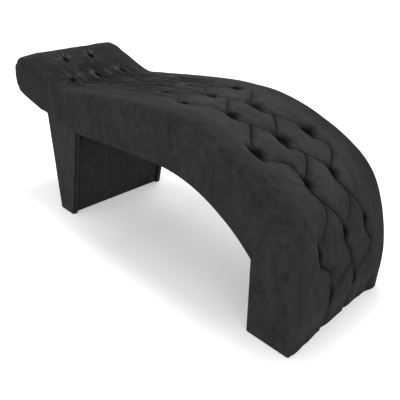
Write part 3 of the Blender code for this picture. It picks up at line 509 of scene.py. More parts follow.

# %% [markdown]
# Cloth is never quite smooth. Short gathers fan out from each tuft on the side that is pulled, long
# streaks run through the waist, where the sheet is squeezed, and the padding swells and sinks a little
# everywhere. The colour is also a little paler along the crest and darker in the waist. All of
# it comes from fixed noise and plain formulas, so the bed looks the same at each run.

# %% Gathers, streaks and swell
# ridge height in mm, row by row from the head end
GATHER_HEIGHTS = (3.6, 3.6, 1.8, 2.2, 2.4, 1.8, 1.1, 0.9, 0.8, 0.7, 0.6)
GATHER_COUNT, GATHER_REACH, GATHER_BEGINS, GATHER_FADE = 9, 0.10, (0.008, 0.012), 0.050
FAN_WIDTH, FAN_ALL_ROUND, RIDGE_TOP, RIDGE_HEIGHT = 1.3, 0.4, 0.6, 1.6
# each tuft's ridges are turned and bent in their own way
TUFT_TURN, RIDGE_BEND, RIDGE_BENDS = 1.7, 0.8, 3
STREAK_HEIGHT, SWELL_HEIGHT = 8.5 * MM, 2.2 * MM
STREAK_BEGINS, STREAK_ENDS, STREAK_SIDES = (0.30, 0.20), (0.95, 0.40), (0.13, 0.11)
STREAKS_EVERYWHERE, RIDGE_SHARPNESS = 0.12, 3
STREAK_SHARES, SWELL_SHARES = (0.25, 0.50, 0.25), (0.7, 0.3)
# patterns of noise: size along, size across, seed
FINE_STREAKS, BROAD_STREAKS, RIDGES = (0.110, 0.013, 3.1), (0.170, 0.034, 8.4), (0.140, 0.024, 15.9)
BROAD_SWELL, SMALL_SWELL = (0.150, 0.120, 20.5), (0.050, 0.045, 31.7)
# how far from the middle the crest and waist tone fades, where along the bed it changes, and by how much
TONE_SIDES = (0.17, 0.10)
TONE_PLACES, TONE_SHIFTS = (0.3, 0.5, 1.05, 1.35, 1.95, 2.2), (0.0, -0.5, -0.5, 0.7, 0.7, 0.0)


def noise_of(x, y, pattern):
    """Smooth noise from -1 to 1 at one place."""
    along_size, across_size, seed = pattern
    return noise.noise((x / along_size, y / across_size, seed))


def noise_at(points, pattern):
    return np.array([noise_of(x, y, pattern) for x, y in points])


def gathers(points):
    """Fine ridges that fan out from the head side of each tuft."""
    total = np.zeros(len(points))
    for order, (row, column) in enumerate(tufts):
        away = points - flat_place(row, column)
        reach = np.linalg.norm(away, axis=1)
        near = np.flatnonzero(reach < GATHER_REACH)
        angle = np.arctan2(away[near, 1], -away[near, 0])
        fade = ramp(reach[near], *GATHER_BEGINS) * bell(reach[near], 0.0, GATHER_FADE)
        fan = bell(angle, 0.0, FAN_WIDTH) + FAN_ALL_ROUND
        bend = TUFT_TURN * order + RIDGE_BEND * np.sin(RIDGE_BENDS * angle + order)
        wave = RIDGE_TOP - RIDGE_HEIGHT * np.abs(np.sin(GATHER_COUNT / 2 * angle + bend))
        total[near] += GATHER_HEIGHTS[row] * MM * fade * fan * wave
    return total


def streaks(points):
    """Lengthwise wrinkles, strongest in the waist."""
    waist = window(points[:, 0], STREAK_BEGINS, STREAK_ENDS)
    middle = 1 - ramp(np.abs(points[:, 1]), *STREAK_SIDES)
    ridged = 1 - RIDGE_SHARPNESS * np.abs(noise_at(points, RIDGES))
    fine, broad, ridge = STREAK_SHARES
    wave = fine * noise_at(points, FINE_STREAKS) + broad * noise_at(points, BROAD_STREAKS) + ridge * ridged
    return (STREAKS_EVERYWHERE + (1 - STREAKS_EVERYWHERE) * waist) * middle * wave * STREAK_HEIGHT


def crest_and_waist_tone(points):
    """Paler along the crest and darker in the hollow of the waist, fading towards the sides."""
    middle = 1 - ramp(np.abs(points[:, 1]), *TONE_SIDES)
    return middle * np.interp(points[:, 0], TONE_PLACES, TONE_SHIFTS)


def swell(points):
    broad, small = SWELL_SHARES
    return (broad * noise_at(points, BROAD_SWELL) + small * noise_at(points, SMALL_SWELL)) * SWELL_HEIGHT

# %% [markdown]
# Next the sheet is bent into its place. Across the bed it is almost flat, with a slight crown, and turns
# down over a soft shoulder at each side, tighter at the head's face and at the floor. Every point goes in
# along the shoulder's own normal by its depth.

# %% From the flat sheet to the bed
FACE_SHOULDER, FLOOR_SHOULDER, STRAIGHT_HALF, CROWN_RISE = 0.020, 0.020, 0.20, 0.005
FACE_RUN, FLOOR_RUN = (0.04, 0.18), 0.45
underside_turn = (belly_corners[1] - belly_corners[0]).normalized()


def bent(points, depth):
    """Places in the bed of flat-sheet points, each sunk by its depth."""
    along, across = points[:, 0], points[:, 1]
    side = np.sign(across)
    at_floor = eased((along - top_length + FLOOR_RUN) / FLOOR_RUN)
    shoulder = SHOULDER + (FLOOR_SHOULDER - SHOULDER) * at_floor
    shoulder = shoulder + (FACE_SHOULDER - SHOULDER) * (1 - ramp(along, *FACE_RUN))
    flat_half = WIDTH / 2 - shoulder
    outer = (np.abs(across) - STRAIGHT_HALF) / (SHEET_HALF - STRAIGHT_HALF)
    reach = STRAIGHT_HALF + outer * (flat_half + shoulder * math.pi / 2 - STRAIGHT_HALF)
    reach = np.where(outer > 0, reach, np.abs(across))
    angle = np.clip((reach - flat_half) / shoulder, 0.0, math.pi / 2)
    y = side * (np.minimum(reach, flat_half) + shoulder * np.sin(angle))
    inward = top_inward(along)
    face = np.clip(along / face_end, 0.0, 1.0)[:, None]
    inward = np.where(face < 1.0, np.array(underside_turn) * (1 - face) + inward * face, inward)
    drop = shoulder * (1 - np.cos(angle)) + CROWN_RISE * (2 * y / WIDTH) ** 2
    sink = drop + depth * np.cos(angle)
    flat = top_place(along) + inward * sink[:, None]
    return np.stack([flat[:, 0] + HEAD_END, y - side * depth * np.sin(angle), flat[:, 1]], axis=-1)

# %% [markdown]
# The sheet becomes a mesh of points and faces. Points are placed in order of need: the borders, the folds,
# a few rows close beside each fold, then the pits, the tufted field and the plain margins, each a little
# coarser. A point is left out where another is too near, and Delaunay triangles join what is there.

# %% Points of the sheet
PIT_STEP, FINE_STEP, PLAIN_STEP = 3.2 * MM, 5 * MM, 9 * MM
CREASE_ROWS = (1.2 * MM, 3.0 * MM, 6.0 * MM)
# how near two points may come: on a fold, in a row beside it and in the open field, as shares of the step
FOLD_CLEARANCE, ROW_CLEARANCE, FIELD_CLEARANCE = 1.2 * MM, 0.85, 0.62
TUFTED_HALF = 0.20
CELL = 4 * MM
sheet_points, sheet_edges, taken = [], [], {}


def is_free(point, clearance):
    x, y = int(point[0] // CELL), int(point[1] // CELL)
    reach = int(clearance // CELL) + 1
    for i in range(x - reach, x + reach + 1):
        for j in range(y - reach, y + reach + 1):
            for other in taken.get((i, j), ()):
                if (other[0] - point[0]) ** 2 + (other[1] - point[1]) ** 2 < clearance**2:
                    return False
    return True


def place_point(point, clearance):
    """Adds a point unless another is too close, and gives its number or None."""
    if not is_free(point, clearance):
        return None
    taken.setdefault((int(point[0] // CELL), int(point[1] // CELL)), []).append(tuple(point))
    sheet_points.append((float(point[0]), float(point[1])))
    return len(sheet_points) - 1


def add_chain(line, clearance):
    found = [place_point(point, clearance) for point in line]
    found = [index for index in found if index is not None]
    sheet_edges.extend(zip(found, found[1:]))

# %% Borders first, then folds, then the rows beside them, then the open field
border_count = round(top_length / PLAIN_STEP)
for across in (-SHEET_HALF, SHEET_HALF):
    for along in np.linspace(0.0, top_length, border_count + 1):
        place_point((along, across), 0.0)
end_count = round(2 * SHEET_HALF / PLAIN_STEP)
for along in (0.0, top_length):
    for across in np.linspace(-SHEET_HALF, SHEET_HALF, end_count + 1)[1:-1]:
        place_point((along, across), 0.0)
for line, *_ in folds:
    add_chain(line, FOLD_CLEARANCE)


def beside(line, gap):
    """The two rows of points at a distance from a fold."""
    run = np.gradient(line, axis=0)
    run /= np.linalg.norm(run, axis=1, keepdims=True)
    normal = np.stack([-run[:, 1], run[:, 0]], axis=-1)
    return np.concatenate([line + normal * gap, line - normal * gap])


for gap in CREASE_ROWS:
    for line, *_ in folds:
        for point in beside(line, gap):
            if 0.0 < point[0] < top_length - gap:
                place_point(point, gap * ROW_CLEARANCE)
print(f"{len(sheet_points)} points on borders and folds")


def field(step, keep):
    """A field of triangles over the sheet; keep says where it is wanted."""
    rows = int(2 * SHEET_HALF / (step * math.sqrt(3) / 2))
    columns = int(top_length / step)
    for row in range(1, rows):
        across = -SHEET_HALF + row * 2 * SHEET_HALF / rows
        for column in range(1, columns):
            along = (column + 0.5 * (row % 2)) * top_length / columns
            if keep(along, across) and along < top_length - step / 2:
                place_point((along, across), step * FIELD_CLEARANCE)


def in_pit(along, across):
    row = round((along - FIRST_TUFT) / ROW_STEP)
    near_row = 0 <= row < TUFT_ROWS and abs(along - FIRST_TUFT - row * ROW_STEP) < PIT_HEADWARD
    return near_row and min(abs(across - c * COLUMN_STEP) for c in TUFT_COLUMNS[row % 2]) < PIT_FAR


def is_tufted(along, across):
    return top_start < along and abs(across) < TUFTED_HALF


field(PIT_STEP, in_pit)
field(FINE_STEP, is_tufted)
field(PLAIN_STEP, lambda along, across: not is_tufted(along, across))
print(f"{len(sheet_points)} points in all")

# %% The quilted sheet as a mesh
JOIN_GAP = 0.05 * MM
# the quilting fades in round the head's edge, so its face stays plain
QUILT_BEGINS = (top_start * 0.6, 0.06)

flat_verts, _, flat_faces, _, _, _ = delaunay_2d_cdt(
    [Vector(point) for point in sheet_points], sheet_edges, [], 0, JOIN_GAP
)
flat = np.array([(v.x, v.y) for v in flat_verts])
quilted = ramp(flat[:, 0], *QUILT_BEGINS)
pressed, lips, dark = quilting(flat)
gathered, streaked = gathers(flat), streaks(flat)
fine_relief = (gathered + streaked - lips) * quilted
depth = limited(form(flat) + loose(flat) * (swell(flat) * quilted + pressed * quilted + fine_relief))
places = bent(flat, depth)
print(f"quilt: {len(places)} points, {len(flat_faces)} faces, deepest {depth.max() / MM:.1f} mm")

# %% [markdown]
# The sides hang from the shoulder to the belly line. They are flat panels under light tension, so they get
# only a slight ripple, and their lower edge is a small roll that turns under to the line of staples. The
# cover is closed underneath for a moment and then hollowed with one cutter, which leaves a true shell over
# foam and frame. Two numbers go with each point: its painted shade, from how deep it lies in a fold or pit,
# and its fine relief. The suede paints shade from the first. From the second it paints a highlight on
# raised ridges and shade in sunk ones, and a tone that is paler on the crest and darker in the waist.

# %% Side walls with a turned-under hem
HEM_ROUND, HEM_DROP, HEM_BACK, HEM_STEPS, HEM_STEP = 4 * MM, 9 * MM, 3 * MM, 3, 10 * MM
# the roll grows over its first stretch, thins out before the foot's back, and ends beside the leg's seat
HEM_GROWS, HEM_THINS, SEAT_GAP, SEAT_RUN = 0.05, 0.15, 0.01, 0.04
SIDE_PAD, WALL_STEP, SNAP = 12 * MM, 14 * MM, 0.01 * MM
RIPPLE, RIPPLE_LONG, RIPPLE_HIGH, RIPPLE_SEED, RIPPLE_FADE = 1.3 * MM, 0.11, 0.32, 5.0, 0.05
RELIEF_SCALE = 3 * MM
CLEAR_OF_EDGE = 0.6

rim_start = belly_corners[0] + underside_turn * (FACE_SHOULDER + CROWN_RISE)
hem_line = evened([rim_start, *belly_corners[1:]], HEM_STEP)
hem_marks = np.linspace(0.0, len(hem_line) * HEM_STEP, len(hem_line))
shell = bmesh.new()
painted_shade_layer = shell.verts.layers.float.new("painted_shade")
relief_layer = shell.verts.layers.float.new("fine_relief")
top_verts = []
# painted shade for each point: how deep it is pressed, or the painted pit cores and fold lines, whichever is
# more
darkness = np.maximum(np.clip(pressed / DEEPEST, 0, 1), dark) * quilted
# tone for the suede from the fine relief: raised gathers and streaks get a painted highlight, sunk ones
# painted shade, plus the crest and waist tone
raised = crest_and_waist_tone(flat) - (2 * gathered + streaked) * quilted / RELIEF_SCALE
for place, deep, fine in zip(places, darkness, raised):
    vert = shell.verts.new(place)
    vert[painted_shade_layer], vert[relief_layer] = deep, fine
    top_verts.append(vert)
for face in flat_faces:
    shell.faces.new([top_verts[index] for index in face])


def hem_drop(point):
    """The roll hangs a little below the belly line, less behind the foot, and not at the leg's seat."""
    beyond = max(seat_start.x - point.x, point.x - seat_end.x)
    drop = np.interp(point.x, (foot_corner.x - HEM_THINS, foot_corner.x), (HEM_DROP, HEM_BACK))
    return drop * min(max((beyond - SEAT_GAP) / SEAT_RUN, 0.0), 1.0)


def hem_rows(side):
    """Rows of points that turn the wall's lower edge under; the roll grows from nothing at the head."""
    whole = offset_line(hem_line, 1.0)
    upward = [moved - point for moved, point in zip(whole, hem_line)]
    rows = []
    for step in range(HEM_STEPS + 1):
        turn = math.pi / 2 * step / HEM_STEPS
        row = []
        for point, up, mark in zip(hem_line, upward, hem_marks):
            grown = min(mark / HEM_GROWS, 1.0)
            rise = grown * (HEM_ROUND * (1 - math.sin(turn)) - hem_drop(point))
            row.append((point + up * rise, side * (WIDTH / 2 - grown * HEM_ROUND * (1 - math.cos(turn)))))
        rows.append(row)
    lowest = [point for point, _ in rows[-1]]
    rows.append([(point, side * (WIDTH / 2 - SIDE_PAD - MM)) for point in lowest])
    return rows


def fill(shape, outline, known, step, place_at):
    """Fills an outline with an even field of faces; place_at gives a new point's place in the bed."""
    boundary = np.array([tuple(point) for point in outline])
    low, high = boundary.min(axis=0), boundary.max(axis=0)
    row_step = step * math.sqrt(3) / 2
    points = list(outline)
    for row in range(1, int((high[1] - low[1]) / row_step) + 1):
        for column in range(1, int((high[0] - low[0]) / step) + 1):
            place = np.array([low[0] + (column + 0.5 * (row % 2)) * step, low[1] + row * row_step])
            if np.min(np.linalg.norm(boundary - place, axis=1)) > step * CLEAR_OF_EDGE:
                points.append(Vector(place))
    edges = [(i, (i + 1) % len(outline)) for i in range(len(outline))]
    found, _, faces, sources, _, _ = delaunay_2d_cdt(points, edges, [], 1, SNAP)
    verts = []
    for point, source in zip(found, sources):
        if source and min(source) < len(known):
            verts.append(known[min(source)])
            continue
        edge_gap = np.min(np.linalg.norm(boundary - (point.x, point.y), axis=1))
        verts.append(shape.verts.new(place_at(point, edge_gap)))
    for face in faces:
        corners = [verts[index] for index in face]
        if len(set(corners)) == len(corners):
            shape.faces.new(corners)


def join_rows(shape, rows, closed=False):
    """Faces between neighbouring rows of points; closed rows also join their two ends."""
    for first, second in zip(rows, rows[1:]):
        for i in range(len(first) if closed else len(first) - 1):
            j = (i + 1) % len(first)
            shape.faces.new([first[i], first[j], second[j], second[i]])


def add_wall(side):
    """Fills one side between the cover's rim and the hem, and gives the hem's rows of points."""
    rim = [i for i in range(len(flat)) if abs(flat[i, 1] - side * SHEET_HALF) < SNAP]
    rim.sort(key=lambda i: flat[i, 0])
    rows = hem_rows(side)
    hem = [[shell.verts.new(in_bed(point, y)) for point, y in row] for row in rows]
    outline = [Vector((places[i][0] - HEAD_END, places[i][2])) for i in rim]
    outline += [point for point, _ in reversed(rows[0][1:])]
    known = [top_verts[i] for i in rim] + list(reversed(hem[0][1:]))
    ripple = (RIPPLE_LONG, RIPPLE_HIGH, RIPPLE_SEED * side)

    def rippled(point, edge_gap):
        wave = noise_of(point.x, point.y, ripple)
        return in_bed(point, side * (WIDTH / 2 + wave * RIPPLE * min(edge_gap / RIPPLE_FADE, 1.0)))

    fill(shell, outline, known, WALL_STEP, rippled)
    join_rows(shell, hem)
    return hem


near_hem, far_hem = add_wall(-1), add_wall(1)
print(f"walls: {len(shell.verts) - len(places)} points more")

# %% Close the cover underneath
join_rows(shell, [near_hem[-1], far_hem[-1]])


def end_edge(along):
    found = [i for i in range(len(flat)) if abs(flat[i, 0] - along) < SNAP]
    return [top_verts[i] for i in sorted(found, key=lambda i: flat[i, 1])]


head_edge, floor_edge = end_edge(0.0), end_edge(top_length)
shell.faces.new([*head_edge, far_hem[-1][0], near_hem[-1][0]])
far_ends, near_ends = [row[-1] for row in far_hem], [row[-1] for row in near_hem]
shell.faces.new([*floor_edge, *far_ends, *reversed(near_ends)])
bmesh.ops.remove_doubles(shell, verts=shell.verts, dist=SNAP)
bmesh.ops.holes_fill(shell, edges=[edge for edge in shell.edges if edge.is_boundary])
bmesh.ops.recalc_face_normals(shell, faces=shell.faces)
open_edges = sum(not edge.is_manifold for edge in shell.edges)
print(f"closed cover: {len(shell.faces)} faces, {open_edges} open edges, {shell.calc_volume():.4f} m3")

# %% [markdown]
# Every finished piece goes through the same few steps: an edit mesh becomes an object, a board is drawn
# from its side view, and a cutter takes room out of a piece. The cover is cut first. Its hollow follows
# the top line at the padding's depth, so foam and frame lie in it as in a sewn cover.

# %% Helpers for finished pieces
pieces = bpy.data.collections.new("upholstery")
bpy.context.scene.collection.children.link(pieces)


def new_piece(name, mesh):
    made = bpy.data.objects.new(name, mesh)
    pieces.objects.link(made)
    return made


def piece_from(name, shape):
    """An object from an edit mesh, which is freed."""
    mesh = bpy.data.meshes.new(name)
    shape.to_mesh(mesh)
    shape.free()
    return new_piece(name, mesh)


def prism(name, outline, low_y, high_y):
    """A board with a side-view outline, between two places across the bed."""
    shape = bmesh.new()
    face = shape.faces.new([shape.verts.new(in_bed(point, low_y)) for point in outline])
    grown = bmesh.ops.extrude_face_region(shape, geom=[face])["geom"]
    moved = [item for item in grown if isinstance(item, bmesh.types.BMVert)]
    bmesh.ops.translate(shape, verts=moved, vec=(0.0, high_y - low_y, 0.0))
    bmesh.ops.recalc_face_normals(shape, faces=shape.faces)
    return piece_from(name, shape)


def applied(piece):
    """Bakes the piece's modifiers into its mesh."""
    graph = bpy.context.evaluated_depsgraph_get()
    mesh = bpy.data.meshes.new_from_object(piece.evaluated_get(graph))
    piece.modifiers.clear()
    piece.data = mesh
    return piece


def cut_with(piece, cutter):
    boolean = piece.modifiers.new("cut", "BOOLEAN")
    boolean.solver = "EXACT"
    boolean.object = cutter
    applied(piece)
    bpy.data.objects.remove(cutter)
    return piece

# %% Hollow the cover over foam and frame
COVER_DEPTH, HEAD_PAD, OVERRUN = 35 * MM, 34 * MM, 20 * MM
FACE_LEAN = HEAD_UNDERCUT / (HEAD_HEIGHT - HEAD_ROUND - HEAD_LOWER_HEIGHT)
FIRM_STEP = 18 * MM


def behind_face(point):
    """How deep a side-view place lies behind the head's sloping face."""
    run = point[0] - FACE_LEAN * (HEAD_HEIGHT - HEAD_ROUND - point[1])
    return run / math.hypot(1.0, FACE_LEAN)


def begun_behind_face(line, depth):
    """The line from where it is this deep behind the head's face."""
    line = [Vector(point) for point in line]
    index = next(i for i, point in enumerate(line) if behind_face(point) > depth)
    before, after = line[index - 1], line[index]
    share = (depth - behind_face(before)) / (behind_face(after) - behind_face(before))
    return [before.lerp(after, share)] + line[index:]


def smooth_layer(depth, begin):
    """The top line moved down to a depth, from the head's padding to the floor."""
    along = np.linspace(face_end, top_length, round((top_length - face_end) / FIRM_STEP))
    line = top_place(along) + top_inward(along) * depth
    return begun_behind_face(line, begin)


def inside_outline():
    """The side view of what the cover leaves free, run out past its open underside."""
    lowest = Vector((0.0, -OVERRUN))
    under = begun_behind_face(offset_line(hem_line, -OVERRUN), HEAD_PAD)
    back = foot_corner.x - OVERRUN
    under = [point for point in under if point.x < back]
    foot = [Vector((LENGTH - COVER_DEPTH, STAND)) + lowest, Vector((back, STAND)) + lowest]
    return smooth_layer(COVER_DEPTH, HEAD_PAD) + foot + list(reversed(under))


cover = piece_from("quilted_cover", shell)
half_hollow = WIDTH / 2 - SIDE_PAD
cut_with(cover, prism("hollow", inside_outline(), -half_hollow, half_hollow))
print(f"hollowed cover: {len(cover.data.polygons)} faces")

# %% [markdown]
# Under the cover lies one slab of upholstery foam, bent over the deck. The twine of every tuft passes
# through it, so it has a bore at each tuft, wide enough for the sewn tab that holds the cloth.

# %% Foam slab
FOAM_TOP, FOAM_UNDER, FIT = 35.3 * MM, 60.3 * MM, 0.3 * MM
HEAD_SEAT, FRAME_HALF = HEAD_PAD + FIT, WIDTH / 2 - SIDE_PAD - FIT
TAB_BORE, BORE_SIDES = 6.6 * MM, 12

upper, lower = smooth_layer(FOAM_TOP, HEAD_SEAT), smooth_layer(FOAM_UNDER, HEAD_SEAT)
foam = prism("foam_block", upper + list(reversed(lower)), -FRAME_HALF, FRAME_HALF)
bores = bmesh.new()
for row, column in tufts:
    along = np.array(FIRST_TUFT + row * ROW_STEP)
    inward = Vector(top_inward(along))
    middle = Vector(top_place(along)) + inward * (FOAM_TOP + FOAM_UNDER) / 2
    axis = Vector((inward.x, 0.0, inward.y)).to_track_quat("Z", "Y").to_matrix().to_4x4()
    bmesh.ops.create_cone(
        bores,
        cap_ends=True,
        segments=BORE_SIDES,
        radius1=TAB_BORE,
        radius2=TAB_BORE,
        depth=FOAM_UNDER,
        matrix=Matrix.Translation(in_bed(middle, column * COLUMN_STEP)) @ axis,
    )
cut_with(foam, piece_from("tab_bores", bores))
print(f"foam: {len(foam.data.polygons)} faces")

# %% [markdown]
# Under the arch a bent panel closes the bed, with the same dark cloth stretched over it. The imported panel
# has flat facets, so a smooth one of the same thickness takes its place, a little slack between the ribs.

# %% Cloth-covered belly panel
BELLY_THICKNESS, LINING_SLACK, LINING_STEP = 4 * MM, 1.2 * MM, 12 * MM
ACROSS_STEPS, HELD_ROWS, RIB_HOLD = 18, 4, 8
BROAD_SAG, FINE_SAG, FINE_SAG_SHARE = (0.09, 0.16, 12.5), (0.03, 0.20, 3.3), 0.5
lining_line = evened(belly_corners[:-1], LINING_STEP)


def span(share, hold):
    """0 at both ends of a span and 1 in its middle; a larger hold keeps the ends shorter."""
    return min(hold * share * (1 - share), 1.0)


def lining_sheet():
    """The panel's outer face with a little slack, in rows along the belly line."""
    belly = begun_behind_face(lining_line, HEAD_SEAT)
    upper = offset_line(belly, BELLY_THICKNESS)
    upper[0] = begun_behind_face(offset_line(lining_line, BELLY_THICKNESS), HEAD_SEAT)[0]
    shape = bmesh.new()
    grid = []
    for order, (low, high) in enumerate(zip(belly, upper)):
        by_end = min(order, len(belly) - 1 - order, HELD_ROWS) / HELD_ROWS
        row = []
        for step in range(ACROSS_STEPS + 1):
            share = step / ACROSS_STEPS
            y = FRAME_HALF * (2 * share - 1)
            wave = noise_of(low.x, y, BROAD_SAG) + FINE_SAG_SHARE * noise_of(low.x, y, FINE_SAG)
            slack = LINING_SLACK / 2 * span(share, RIB_HOLD) * by_end * (1 + wave)
            row.append(shape.verts.new(in_bed(low.lerp(high, slack / BELLY_THICKNESS), y)))
        row += [shape.verts.new(in_bed(high, y)) for y in (FRAME_HALF, -FRAME_HALF)]
        grid.append(row)
    join_rows(shape, grid, closed=True)
    shape.faces.new(grid[0])
    shape.faces.new(grid[-1])
    bmesh.ops.recalc_face_normals(shape, faces=shape.faces)
    return shape


belly_cloth = piece_from("belly_cloth", lining_sheet())
print(f"belly cloth: {len(belly_cloth.data.polygons)} faces")

# %% [markdown]
# The leg is a box of boards in the same suede. Its two end panels stand a little proud of the walls
# between them, which the photograph shows as a narrow strip at each corner. Cloth pulled round a board
# leaves soft edges of a few millimetres, and the walls are slightly slack.

# %% The leg's outline, read from the frame
LEG_EDGE, LEG_FULL, EDGE_STEPS = 4 * MM, 2 * MM, 4
LEG_STEP = 14 * MM


def outline_of(node):
    """Corners of a leg node's side view: outer foot, inner foot, inner top and outer top."""
    verts = [v.co for v in frame["nodes"][node].data.vertices]
    low, outer = min(v.z for v in verts), min(v.x for v in verts)
    inner_foot = max(v.x for v in verts if v.z < low + MM)
    inner_top = max(verts, key=lambda v: v.x)
    outer_top = max(v.z for v in verts if v.x < outer + MM)
    places = [(outer, low), (inner_foot, low), (inner_top.x, inner_top.z), (outer, outer_top)]
    return [Vector((x - HEAD_END, z)) for x, z in places]


def moved_in(corners, distance):
    """A closed outline moved in by a distance, mitred at its corners."""
    return offset_line([corners[-1], *corners, corners[0]], distance)[1:-1]


def counts(length, step):
    """Evenly spread shares from 0 to 1, about a step apart on that length."""
    count = max(1, round(length / step))
    return [index / count for index in range(count + 1)]

# %% [markdown]
# The end panels are boards with cloth pulled round them. The cloth covers the face, rolls over the edge and
# turns in behind, where a flap is stapled. A narrow groove behind the roll is the seam. The groove and the
# flap are painted in full shade, so the seam shows as a dark line beside the wall. Two cutters then make
# room for the board and for the walls.

# %% End panels in cloth
CLEAR, FLAP, PANEL_SLACK, SEAM = 0.15 * MM, 1.2 * MM, 1.2 * MM, 3.2 * MM
PANEL_LONG, PANEL_HIGH, PANEL_SEED, PANEL_FADE = 0.05, 0.22, 3.0, 0.04
# how far the cutters run past the cloth, in mm, and past the ends of the walls
PAST, PAST_WALLS = 10, 30
wall_corners = outline_of("leg_wall_cover")


def end_rings(outside, flap_face, side):
    """Rings from the face round the rolled edge and the seam to the flap, as (inset, place across)."""
    rings = []
    for step in range(EDGE_STEPS + 1):
        turn = math.pi / 2 * step / EDGE_STEPS
        rings.append((LEG_EDGE * (1 - math.sin(turn)), outside - side * LEG_EDGE * (1 - math.cos(turn))))
    rings += [(SEAM / 2, outside - side * (LEG_EDGE + SEAM)), (0.0, outside - side * (LEG_EDGE + 2 * SEAM))]
    return rings + [(0.0, flap_face + side * FLAP), (FLAP / 2, flap_face)]


def hollow_of_leg(inside, side):
    """A cutter along the walls' outline, run on past both ends, which opens the cloth's inner side."""
    foot_out, foot_in, top_in, top_out = wall_corners
    inner_way, outer_way = (top_in - foot_in).normalized() * PAST_WALLS * MM, Vector((0.0, PAST_WALLS * MM))
    aside = Vector((2 * CLEAR, 0.0))
    opening = [foot_out - outer_way - aside, foot_in - inner_way + aside]
    opening += [top_in + inner_way + aside, top_out + outer_way - aside]
    return prism("opening", opening, inside + side * CLEAR / 2, inside - side * PAST * MM)


def end_cloth(name, word):
    """Cloth round an end board: over its face and edges, with a flap turned in on its inner side."""
    corners, board = outline_of("leg_end_cover_" + word), outline_of("leg_end_board_" + word)
    corners = moved_in(corners, -LEG_FULL)
    low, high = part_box("leg_end_cover_" + word)
    board_low, board_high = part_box("leg_end_board_" + word)
    side = 1 if low.y > 0 else -1
    outside, inside = (high.y, low.y) if side > 0 else (low.y, high.y)
    board_face = board_high.y if side > 0 else board_low.y
    parts = [len(counts((b - a).length, LEG_STEP)) - 1 for a, b in zip(corners, [*corners[1:], corners[0]])]
    shape = bmesh.new()
    layer = shape.verts.layers.float.new("painted_shade")
    outlines, rings = [], []
    for inset, y in end_rings(outside, inside - side * FLAP, side):
        ring = moved_in(corners, inset)
        ends = [*ring[1:], ring[0]]
        outlines.append([a.lerp(b, k / part) for a, b, part in zip(ring, ends, parts) for k in range(part)])
        rings.append([shape.verts.new(in_bed(point, y)) for point in outlines[-1]])
    join_rows(shape, rings, closed=True)
    pattern = (PANEL_LONG, PANEL_HIGH, PANEL_SEED * side)

    def slack(point, edge_gap):
        wave = 0.5 + 0.5 * noise_of(point.x, point.y, pattern)
        return in_bed(point, outside - side * PANEL_SLACK * min(edge_gap / PANEL_FADE, 1.0) * wave)

    fill(shape, outlines[0], rings[0], LEG_STEP, slack)
    shape.faces.new(rings[-1])
    # the seam's groove and the flap are painted in full shade
    for vert in rings[-1] + rings[EDGE_STEPS + 1]:
        vert[layer] = 1.0
    bmesh.ops.recalc_face_normals(shape, faces=shape.faces)
    cloth = piece_from(name, shape)
    room = moved_in(board, -CLEAR)
    room[2:] = [point + Vector((0.0, PAST * MM)) for point in room[2:]]
    cut_with(cloth, prism("board_room", room, board_face + side * CLEAR, inside - side * CLEAR))
    return cut_with(cloth, hollow_of_leg(inside, side))


end_cloths = {word: end_cloth("leg_end_cloth_" + word, word) for word in ("near", "far")}
print(f"end cloths: {[len(cloth.data.polygons) for cloth in end_cloths.values()]} faces")

# %% [markdown]
# One piece of cloth wraps the walls: down the outer one, under the leg and up the inner one. It is drawn as
# rows of points across the leg and then gets its thickness inwards with Solidify. Where it goes under the
# end panels and up under the seat, its points get painted shade.

# %% Walls in cloth
LEG_WRAP, WALL_SLACK, SLACK_GROWS, PANEL_HOLD = 4 * MM, 1.4 * MM, 0.05, 10
MEAN_SLACK, SLACK_VARIES, FINE_FOLD_SHARE = 0.6, 0.6, 0.4
BROAD_FOLDS, FINE_FOLDS, OUTER_SEED, INNER_SEED = (0.06, 0.35), (0.02, 0.20), 7.0, 15.0
# rows near the end panels, how far painted shade reaches from the panels and from the seat, and how strong it
# is
TUCK_ROWS, TUCK_SEEN, SEAT_SEEN, TUCK_SHADE = (3 * MM, 7 * MM), 3.5 * MM, 55 * MM, 0.8


def wall_row(y, share):
    """The wall cloth's side view at one place across: down the outer wall, under, and up the inner one."""
    foot_out, foot_in, top_in, top_out = wall_corners
    hold = span(share, PANEL_HOLD)
    ends = []
    for foot, top, away, seed in ((foot_out, top_out, 1, OUTER_SEED), (foot_in, top_in, -1, INNER_SEED)):
        upright = (top - foot).normalized()
        wall = []
        for part in counts((top - foot).length - LEG_EDGE, LEG_STEP):
            point = foot.lerp(top, part) + upright * LEG_EDGE * (1 - part)
            broad = noise_of(y, point.y, (*BROAD_FOLDS, seed))
            wave = broad + FINE_FOLD_SHARE * noise_of(y, point.y, (*FINE_FOLDS, seed))
            slack = WALL_SLACK * hold * (MEAN_SLACK + SLACK_VARIES * wave) * min(part / SLACK_GROWS, 1.0)
            wall.append(point + Vector((away * slack, 0.0)))
        centre, turned = foot + Vector((away * LEG_EDGE, LEG_EDGE)), []
        for step in range(1, EDGE_STEPS + 1):
            turn = math.pi / 2 * step / EDGE_STEPS
            turned.append(centre + Vector((-away * math.cos(turn), -math.sin(turn))) * LEG_EDGE)
        ends.append((wall, turned))
    (outer, outer_turn), (inner, inner_turn) = ends
    side_view = list(reversed(outer)) + outer_turn + list(reversed(inner_turn)) + inner
    return [in_bed(point, y) for point in side_view]


def painted_wall_shade(place, from_panel, top):
    """Painted shade, by the distance from the nearer end panel and from the seat above."""
    inner = place.x - HEAD_END > (wall_corners[0].x + wall_corners[1].x) / 2
    below_seat = max((wall_corners[2].y if inner else top) - place.z, 0.0)
    return TUCK_SHADE * max(math.exp(-from_panel / TUCK_SEEN), math.exp(-below_seat / SEAT_SEEN))


